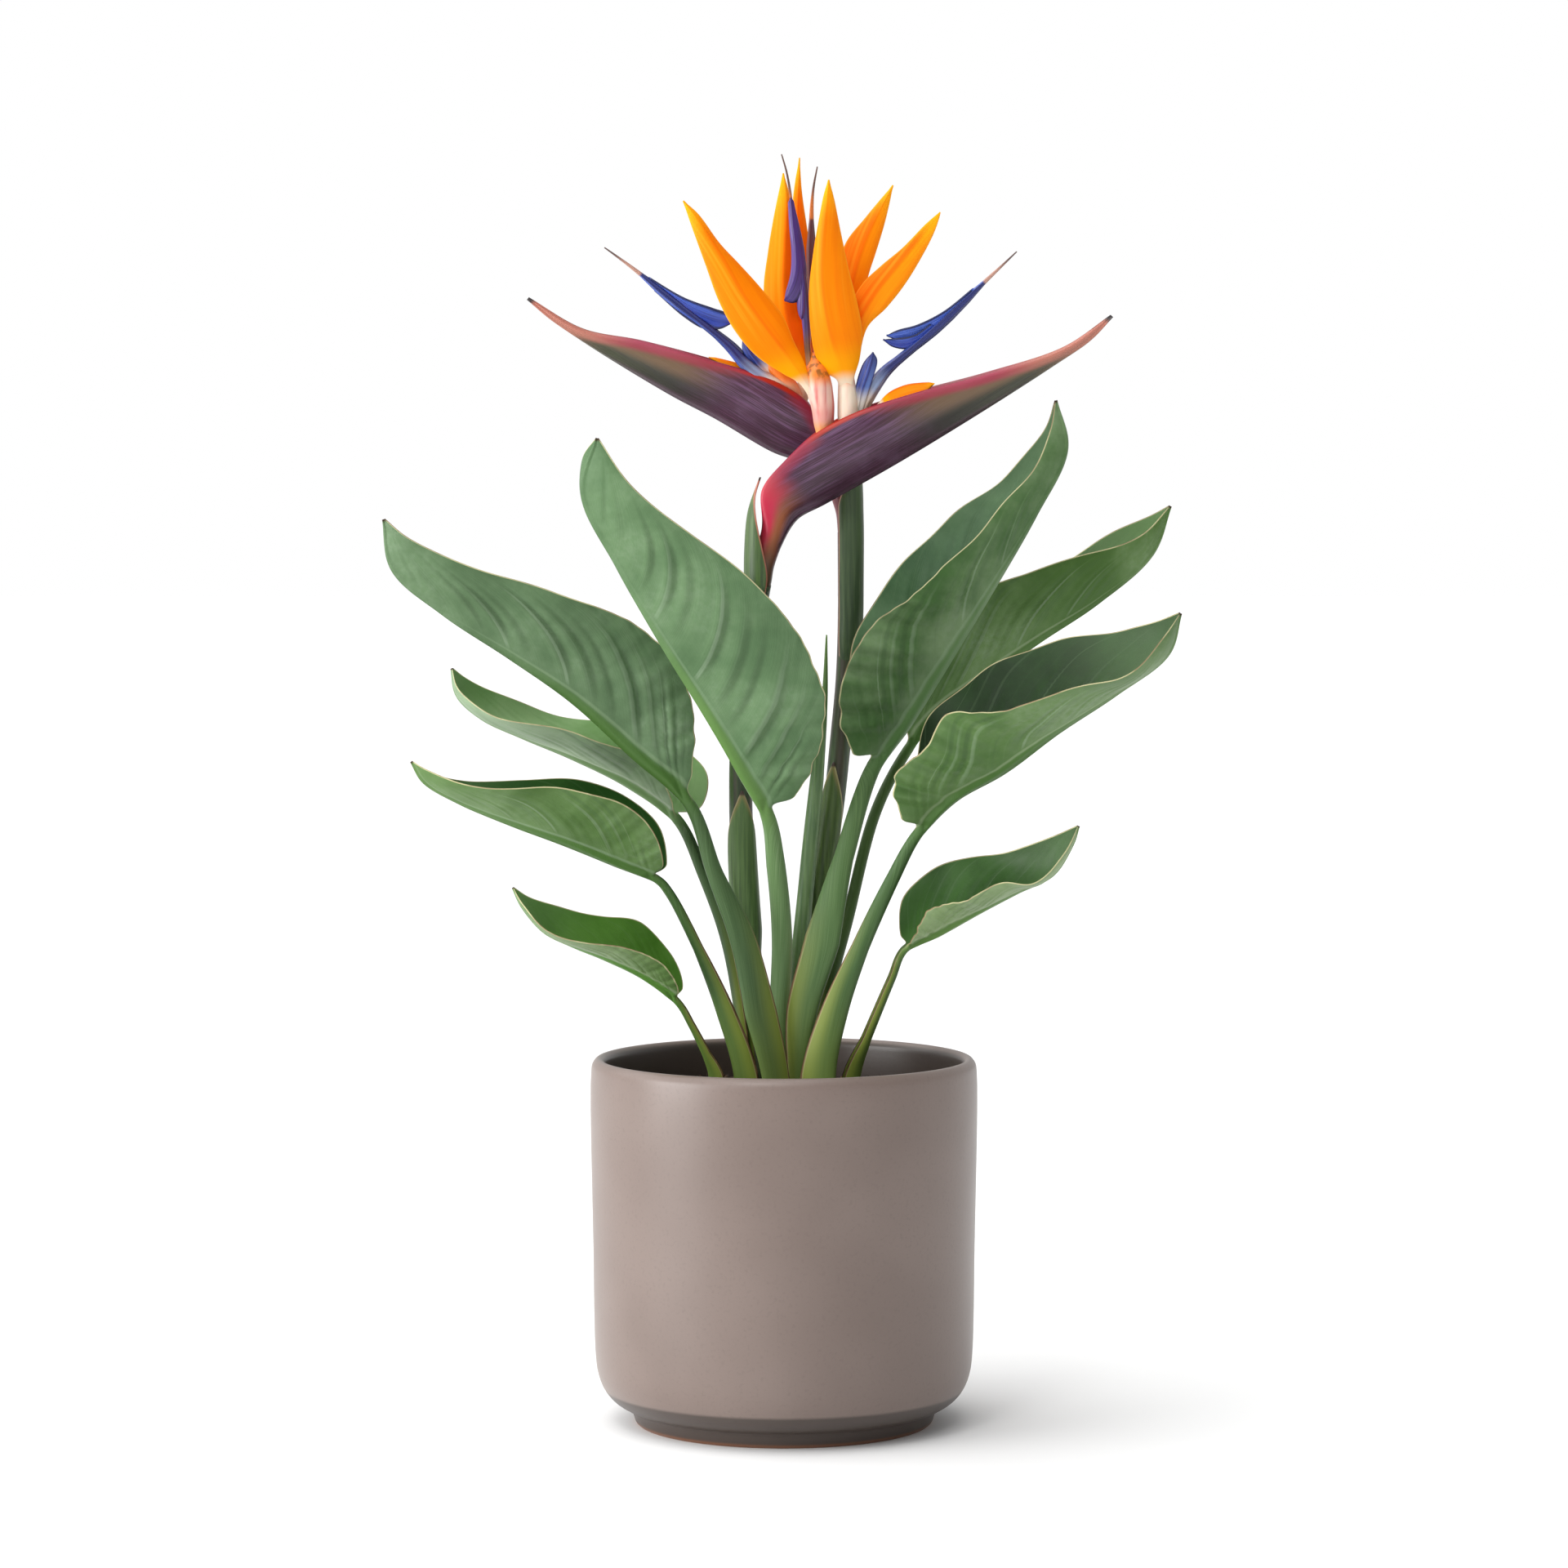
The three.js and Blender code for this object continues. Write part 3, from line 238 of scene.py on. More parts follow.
def soil_relief(x, y):
    """Height above the soil's level in millimetres: a slow swell plus crumbs, both products of sines,
    as on the solid, and finer lumps of 1 to 3 mm on top."""
    slow = np.sin(0.07 * x + 1) * np.cos(0.06 * y - 0.5)
    crumbs = np.sin(0.31 * x + 2 * np.sin(0.13 * y)) * np.sin(0.27 * y + 1.5 * np.sin(0.17 * x))
    fine = np.sin(1.7 * x + 2.2 * np.sin(0.9 * y)) * np.sin(1.9 * y + 1.8 * np.sin(1.1 * x))
    finer = np.sin(4.1 * x + 1.3 * np.sin(3.1 * y)) * np.cos(3.7 * y + 1.9 * np.sin(2.3 * x))
    return SOIL_RELIEF * (slow + crumbs) + 0.55 * fine + 0.25 * finer


def crumb_bodies(count, seed):
    """Loose crumbs as one mesh: each is a cube of 8 points pushed out of square at random, turned, and
    half sunk in the soil where it lies."""
    random = np.random.default_rng(seed)
    angle, share = random.uniform(0, 2 * np.pi, count), random.uniform(0, 1, count)
    radius = (pot_inside - 5) * np.sqrt(share)
    x, y = radius * np.cos(angle), radius * np.sin(angle)
    centre = np.stack([x, y, SOIL_LEVEL + soil_relief(x, y)], axis=-1)
    size = CRUMB_SIZE * random.uniform(0.35, 1, (count, 1, 1)) ** 1.5
    corners = np.array([[a, b, c] for a in (-1, 1) for b in (-1, 1) for c in (-1, 1)], float)
    body = corners * random.uniform(0.5, 1.1, (count, 8, 3)) * random.uniform(0.5, 1.6, (count, 1, 3))
    spin, tip = random.uniform(0, 2 * np.pi, (2, count))
    zero, one = np.zeros(count), np.ones(count)
    about_z = [np.cos(spin), -np.sin(spin), zero, np.sin(spin), np.cos(spin), zero, zero, zero, one]
    about_x = [one, zero, zero, zero, np.cos(tip), -np.sin(tip), zero, np.sin(tip), np.cos(tip)]
    turn = [np.stack(parts, axis=-1).reshape(count, 3, 3) for parts in (about_z, about_x)]
    body = np.einsum("nij,njk,npk->npi", turn[0], turn[1], body) * size + centre[:, None]
    sides = [[0, 1, 3, 2], [4, 6, 7, 5], [0, 4, 5, 1], [2, 3, 7, 6], [0, 2, 6, 4], [1, 5, 7, 3]]
    faces = (np.array(sides)[None] + 8 * np.arange(count)[:, None, None]).reshape(-1, 4)
    return body.reshape(-1, 3), faces.tolist()


def soil_material():
    """Moist potting mix: near black bark humus with browner fibres, rough and without gloss."""
    material, tree, place = start_material("moist bark potting mix", "place")
    lumps = add_node(tree, "TexNoise", {"Vector": place, "Scale": 260.0, "Detail": 5.0})
    fibres = add_node(tree, "TexVoronoi", {"Vector": place, "Scale": 480.0}, "Distance")
    colour = layered(tree, "#1d1510", [
        ("#4a3625", 1.0, (lumps, 0.4, 0.68)),
        ("#6a5138", 1.0, (fibres, 0.62, 0.8)),
    ])
    finish_material(tree, colour, 0.95, (lumps, 0.8, 0.001))
    return material


soil_edge = pot_inside - SOIL_GAP
soil_radii = np.linspace(soil_edge, 0.4, SOIL_RINGS)
soil_floor = np.array([[0.4, POT_FLOOR + SOIL_GAP], [pot_inside - POT_CORNER, POT_FLOOR + SOIL_GAP],
                       [pot_inside - 9, 18], [pot_inside - POT_TAPER - 2 * SOIL_GAP, 40],
                       [soil_edge, SOIL_LEVEL - 3]])
soil_profile = np.concatenate([soil_floor, np.stack([soil_radii, 0 * soil_radii + SOIL_LEVEL], axis=-1)])
soil_rings = turned(soil_profile, SOIL_SIDES)
soil_top = soil_rings[len(soil_floor):]
soil_fade = np.clip((soil_edge - soil_radii) / SOIL_FADE, 0, 1)[:, None]
soil_top[..., 2] += soil_relief(soil_top[..., 0], soil_top[..., 1]) * soil_fade
soil_finish = soil_material()
add_piece("potting_soil", closed_rings(soil_rings), soil_finish, ["soil"])
add_piece("soil_crumbs", crumb_bodies(CRUMB_COUNT, CRUMB_SEED), soil_finish, [])

# ----------------------------------------
# The leaves: thick, leathery blades on channelled stalks. Each blade is one sheet folded along its
# midrib, with the pale underside outward, and its stalk widens into a sheath that wraps the clump.
# ----------------------------------------
LEAF_THICKNESS = 0.9
LEAF_STEM_ROWS = 70
LEAF_BLADE_ROWS = 190
LEAF_COLUMNS = 61
VEIN_BANDS = 13
VEIN_HEIGHT = 1.0
VEIN_SWEEP = 0.42
TIP_SHARE = 0.996
MARGIN_WAVES = 13
FINE_WAVES = 23
RIPPLE_SHIFT = 0.37
GRAIN_STRETCH = 0.02
LENGTH_STEPS = 2400


def unit(vectors):
    """Vectors scaled to length 1."""
    return vectors / np.maximum(np.linalg.norm(vectors, axis=-1, keepdims=True), 1e-9)


def dot(first, second):
    """The dot product of vectors in the last axis, kept as a column."""
    return (first * second).sum(axis=-1, keepdims=True)


def ease(t):
    """Rises smoothly from 0 to 1 as t goes from 0 to 1."""
    c = np.clip(t, 0, 1)
    return c * c * (3 - 2 * c)


def lengths(points):
    """Even steps of t along the smooth curve through the points, and the curve's length up to each."""
    t = np.linspace(0, 1, LENGTH_STEPS)
    pace = np.linalg.norm(np.diff(smooth_points(points, t), axis=0), axis=1)
    return t, np.concatenate([[0], np.cumsum(pace)])


def by_length(points, share):
    """Points on the smooth curve at the given shares of its length."""
    t, length = lengths(points)
    return smooth_points(points, np.interp(share * length[-1], length, t))


def margin_waves(share, height, start):
    """How far a blade's margin stands out in millimetres: two sine waves of unlike length, strongest a
    little above the foot and gone past the blade's middle."""
    waves = np.sin(2 * np.pi * (MARGIN_WAVES * share + 0.6 * np.sin(9 * share)) + start)
    waves = waves + 0.6 * np.sin(2 * np.pi * FINE_WAVES * share + 2 * start)
    return (height * waves * ease(share / 0.05) * ease((0.62 - share) / 0.35))[:, None]


def blade_frame(shape, stem_rows, blade_rows):
    """The lines that a blade is built on, one row for each step from its foot to its tip: the spine's
    place and direction, the two margins, and the directions across the blade and into its opening."""
    stem, keel = shape.get("stem", []), shape["keel"]
    spine = stem + keel
    parts = len(spine) - 1
    u = np.linspace(0, 1, blade_rows)
    share = np.minimum(0.6 * u + 0.4 * (0.5 - 0.5 * np.cos(np.pi * u)), TIP_SHARE)
    stem_index = np.linspace(0, len(stem), stem_rows, endpoint=False)
    t, length = lengths(spine)
    base_length = np.interp(len(stem) / parts, t, length)
    blade_length = length[-1] - base_length
    place = np.concatenate([stem_index / parts, np.interp(base_length + blade_length * share, length, t)])
    centre = smooth_points(spine, place)
    tangent = unit(smooth_points(spine, place + 2e-3) - smooth_points(spine, place - 2e-3))
    share = np.concatenate([0 * stem_index, share])
    foot = [keel[0]] if stem else []
    near, far = (foot + shape[side] + [keel[-1]] for side in ("near", "far"))
    open_share = np.clip(share, 0.1, 0.9)
    across = by_length(far, open_share) - by_length(near, open_share)
    across = unit(across - tangent * dot(across, tangent))
    up = np.cross(across, tangent)
    near, far = by_length(near, share), by_length(far, share)
    middle = stem_rows + blade_rows // 2
    opening = (near + far)[middle] / 2 - centre[middle]
    hand = np.sign(dot(up[middle], opening))
    spread = unit(far - near)
    near = near - spread * margin_waves(share, shape.get("near_waves", 0), 0.3)
    far = far + spread * margin_waves(share, shape.get("far_waves", 0), 1.9)
    index = np.concatenate([stem_index, np.full(blade_rows, len(stem))])
    along = np.interp(place, t, length) - base_length
    return dict(centre=centre, tangent=tangent, across=across, up=up * hand, near=near, far=far,
                hand=hand, share=share, index=index, along=along, stem_rows=stem_rows)


def around(outside, inside, edges):
    """Values for all points of a blade's ring, from those across its outside and its inside and those
    of its near and far edge: across the outside, the far edge, back across the inside, the near edge."""
    return np.concatenate([outside, edges[:, 1:], inside[:, ::-1], edges[:, :1]], axis=1)


def blade_rings(shape, lines, columns, thickness, bulge, rib, rib_fade=1.6, join=0.07, relief=None,
                channel=None, cut=0.75, hollow=0.5):
    """One ring of points for each row: across the outside from the near margin to the far one, round
    the edge and back across the inside. Each half spans from the spine to its margin and bulges by
    4q(1 - q), where q is the share of the way, with a rib on the spine that sinks towards the tip. The
    stem's section is an ellipse, cut off by the angle `cut` on each side of its top, where a channel runs
    that is `hollow` of its half depth. It turns into the open blade over the share `join` of the blade's
    length. `relief` gives a height on the outside, and `channel` fills the blade up to that depth below
    its margins."""
    even = np.linspace(-1, 1, columns)
    places = np.sin(even * np.pi / 2) * 0.45 + even * 0.55
    place = places[None, :, None]
    q = np.abs(place)
    centre, up, across, tangent, near, far = (
        lines[key][:, None] for key in ("centre", "up", "across", "tangent", "near", "far"))
    share = lines["share"][:, None, None]
    arm = np.where(place < 0, near, far) - centre
    reach = np.maximum(np.linalg.norm(arm, axis=-1, keepdims=True), 0.5)
    outward = unit(np.cross(tangent, arm)) * lines["hand"] * np.where(place < 0, -1, 1)
    wave = np.sin(2 * np.pi * (shape.get("ripples", 4) * share + np.where(place < 0, 0, RIPPLE_SHIFT)))
    ripple = shape.get("ripple", 0) * q ** 2 * np.sin(np.pi * share) * wave
    sheet = centre + arm * q + outward * (bulge * reach * 4 * q * (1 - q) + ripple)
    if relief is not None:
        sheet = sheet + outward * relief(shape, share, place, reach)
    normal = np.cross(np.gradient(sheet, axis=0), np.gradient(sheet, axis=1))
    middle = lines["stem_rows"] + (len(sheet) - lines["stem_rows"]) // 2
    normal = normal * np.sign(dot(normal, up)[middle, columns // 2])
    normal = unit(unit(normal) + 0.02 * up)
    stem_deep = shape.get("deep", [0])[-1]
    rib_height = rib + max(stem_deep - rib, 0) * (1 - share) ** rib_fade
    rib_width = np.clip(1.7 * rib_height / reach, 0.04, 0.3)
    rib_bump = rib_height * np.clip(1 - (q / rib_width) ** 2, 0, 1) ** 2
    half = thickness / 2 * (1 - 0.5 * q ** 8) * (1 - 0.8 * ease((share - 0.9) / 0.1))
    outside = sheet - normal * (half + rib_bump)
    inside = sheet + normal * (half - 0.35 * thickness * np.exp(-(q * reach / 1.1) ** 2))
    if channel is not None:
        gap = np.linalg.norm(far - near, axis=-1, keepdims=True)
        mix = 0.5 + place * (0.5 - np.minimum(1.2 / np.maximum(gap, 0.1), 0.25))
        inside = near * (1 - mix) + far * mix
        inside = inside + up * (0.6 - channel(share) * (1 - q ** 2))
    if "deep" in shape:
        deep, wide = (np.interp(lines["index"], np.arange(len(shape[key])), shape[key])[:, None, None]
                      for key in ("deep", "wide"))
        angle = place * (np.pi - cut)
        round_side = centre + across * wide * np.sin(angle) - up * deep * np.cos(angle)
        first, last = round_side[:, :1], round_side[:, -1:]
        channel_floor = first + (last - first) * ((place + 1) / 2) - up * hollow * deep * (1 - q ** 2)
        blend = ease(share / join) * (np.arange(len(sheet)) >= lines["stem_rows"])[:, None, None]
        outside = round_side + (outside - round_side) * blend
        inside = channel_floor + (inside - channel_floor) * blend
    edges = 0.5 * (outside[:, [0, -1]] + inside[:, [0, -1]])
    edges = edges + unit(outside[:, [0, -1]] - outside[:, [1, -2]]) * 0.3 * thickness
    return around(outside, inside, edges), places, reach[..., 0]


def vein_count(shape, share, q):
    """How many side veins lie between the leaf's foot and a point: they leave the midrib forwards and
    curve on to the margin, a little closer here and wider there."""
    start = share - shape.get("sweep", VEIN_SWEEP) * (0.6 * q + 0.4 * q ** 2)
    return VEIN_BANDS * (start + 0.014 * np.sin(23 * start) + 0.008 * np.sin(51 * start))


def leaf_relief(shape, share, place, reach):
    """Height of the leaf's surface over its plain form, in millimetres: a saw-toothed ridge for each
    side vein, a sine with two of its overtones, which fades at the midrib and at the margin."""
    q = np.abs(place)
    turn = 2 * np.pi * vein_count(shape, share, q)
    uneven = 1 + 0.4 * np.sin(0.37 * turn + 3 * np.sign(place))
    ridge = np.sin(turn) + 0.4 * np.sin(2 * turn + 0.2) + 0.2 * np.sin(3 * turn + 0.4)
    window = ease((q - 0.06) / 0.3) * (1 - ease((q - 0.5) / 0.45)) * ease((share - 0.04) / 0.1)
    size = VEIN_HEIGHT * shape.get("ridges", 1) * np.minimum(reach / 45, 1)
    return size * ridge * uneven * window * ease((1 - share) / 0.4)


def with_ends(values):
    """The values of all ring points, then the means of the first and last ring for the end points."""
    flat = values.reshape(-1, *values.shape[2:])
    return np.concatenate([flat, values[[0, -1]].mean(axis=1)])


def blade_measures(lines, places, reach):
    """What a blade's material reads at each point: the side share from -1 to 1, millimetres from the rib,
    from the margin and along the blade, the share of its length, whether the point is on the inside, and
    a grain: millimetres across and a fiftieth of those along, for a pattern that runs lengthwise."""
    flat = 0 * reach
    side = places[None] + flat
    q = np.abs(side)
    along, share = lines["along"][:, None] + flat, lines["share"][:, None] + flat
    values = dict(side=side, rib=q * reach, edge=(1 - q) * reach, along=along, share=share)
    rings = {key: around(value, value, value[:, [0, -1]]) for key, value in values.items()}
    rings["inside"] = around(flat, flat + 1, flat[:, :2] + 0.5)
    measures = {key: with_ends(ring) for key, ring in rings.items()}
    across = np.sign(measures["side"]) * measures["rib"]
    grain = [across, GRAIN_STRETCH * measures["along"], measures["inside"]]
    return dict(measures, grain=np.stack(grain, axis=-1))


def blade(shape, stem_rows, blade_rows, columns, thickness, **form):
    """A blade's points and faces, and what its material reads at each point."""
    lines = blade_frame(shape, stem_rows, blade_rows)
    rings, places, reach = blade_rings(shape, lines, columns, thickness, **form)
    return closed_rings(rings), blade_measures(lines, places, reach)


def leaf_material(outer, inner, rib_paint, stalk_paint):
    """Living leaf: a thick cuticle with a wax bloom. It gives a soft satin gloss, grey-green outside and
    a fresher, darker green inside, with faint side veins whose valleys carry painted shade and whose
    crests carry a painted highlight, a cream margin and a brown dried point. The fine cross lines are drawn
    about 1 mm apart, twice as coarse as real, to show at all."""
    material, tree, place, side, rib, edge, along, share, inside, vein, grain = start_material(
        "waxed leaf blade", "place", "side", "rib", "edge", "along", "share", "inside", "vein", "grain")
    height = add_node(tree, "SeparateXYZ", {"Vector": place}, "Z")
    bloom = add_node(tree, "TexNoise", {"Vector": place, "Scale": 22.0, "Detail": 5.0, "Roughness": 0.6})
    dust = add_node(tree, "TexNoise", {"Vector": place, "Scale": 300.0, "Detail": 3.0})
    fibres = add_node(tree, "TexNoise", {"Vector": grain, "Scale": 1.3, "Detail": 4.0})
    unlike = add_node(tree, "TexNoise", {"W": vein, "Scale": 0.9, "Detail": 1.0}, noise_dimensions="1D")
    # Each side vein is one turn of a sine, with twelve fine cross lines to it.
    turn = add_node(tree, "Math", {0: vein, 1: 2 * math.pi}, operation="MULTIPLY")
    crest_turn = add_node(tree, "Math", {0: turn, 1: 1.1}, operation="ADD")
    crest = add_node(tree, "Math", {0: crest_turn}, operation="SINE")
    fine_turn = add_node(tree, "Math", {0: turn, 1: 12.0}, operation="MULTIPLY")
    fine = add_node(tree, "Math", {0: fine_turn}, operation="SINE")
    # How far out a point lies: in half widths of the midrib, which tapers, and from midrib to margin.
    taper = {"Value": along, "From Min": 10.0, "From Max": 150.0, "To Min": 4.6, "To Max": 1.2}
    size = add_node(tree, "Math", {0: rib, 1: add_node(tree, "MapRange", taper)}, operation="DIVIDE")
    level = add_node(tree, "Math", {0: side}, operation="ABSOLUTE")
    face = layered(tree, outer[0], [(outer[1], 1.0, (bloom, 0.32, 0.68))])
    back = layered(tree, inner[0], [(inner[1], 1.0, (bloom, 0.32, 0.68))])
    stalk = layered(tree, stalk_paint[0], [
        (stalk_paint[1], 0.7, (fibres, 0.35, 0.7)),
        ("#8c983f", 0.85, (height, 0.265, 0.18), (level, 0.45, 0.88)),
        ("#75873a", 0.45, (height, 0.225, 0.17)),
        ("#a89e70", 0.6, (height, 0.26, 0.22), (level, 0.91, 0.94)),
        ("#6d4c38", 0.9, (height, 0.26, 0.22), (level, 0.95, 0.975)),
    ])
    # The limits that several layers share: only the outside, and only where some veins stand out.
    outside = (inside, 0.9, 0.1)
    veined = (along, 10.0, 50.0), (unlike, 0.42, 0.6), (share, 0.85, 0.6)
    colour = layered(tree, face, [
        (back, 1.0, (inside, 0.2, 0.8)),
        # Painted shade in the vein valleys and a painted highlight on the vein crests, outside only.
        ("#3a5634", 0.3, (crest, 0.3, -0.9), outside, (size, 1.5, 5.0), *veined),
        ("#a3b79c", 0.3, (crest, 0.8, 1.0), outside, (size, 1.2, 3.0), (level, 0.95, 0.6), *veined),
        ("#6f8a64", 0.12, (crest, 0.9, 1.0), (inside, 0.1, 0.9), (along, 0.0, 20.0), (unlike, 0.4, 0.6)),
        # Painted sheen: the inside is lighter towards the tip.
        ("#7c9670", 0.22, (inside, 0.2, 0.8), (share, 0.5, 0.85)),
        ("#3b5a35", 0.05, (fine, 0.0, 1.0), (along, 0.0, 20.0)),
        ("#9aab94", 0.2, (bloom, 0.45, 0.75), (dust, 0.3, 0.7), outside),
        (rib_paint[0], 0.9, (size, 1.4, 0.6), (inside, 0.9, 0.4), (along, 150.0, 50.0)),
        (rib_paint[1], 0.4, (size, 1.7, 1.35), (size, 0.9, 1.2), (inside, 0.9, 0.4), (along, 170.0, 90.0)),
        (stalk, 1.0, (along, 9.0, -12.0)),
        ("#cfc79a", 0.8, (edge, 0.5, 0.15), (along, 0.0, 8.0)),
        ("#6a3f2b", 0.7, (edge, 0.2, 0.05), (along, 0.0, 8.0), (bloom, 0.45, 0.6)),
        ("#3a2415", 1.0, (share, 0.986, 0.995)),
    ])
    lines = add_node(tree, "MapRange", {"Value": along, "From Min": -5.0, "From Max": 10.0, "To Max": fine})
    relief = add_node(tree, "Math", {0: lines, 1: 0.2, 2: fibres}, operation="MULTIPLY_ADD")
    dull = {"Specular IOR Level": 0.18}
    finish_material(tree, colour, (bloom, 0.3, 0.52), (relief, 0.2, FINE_RELIEF), dull)
    return material


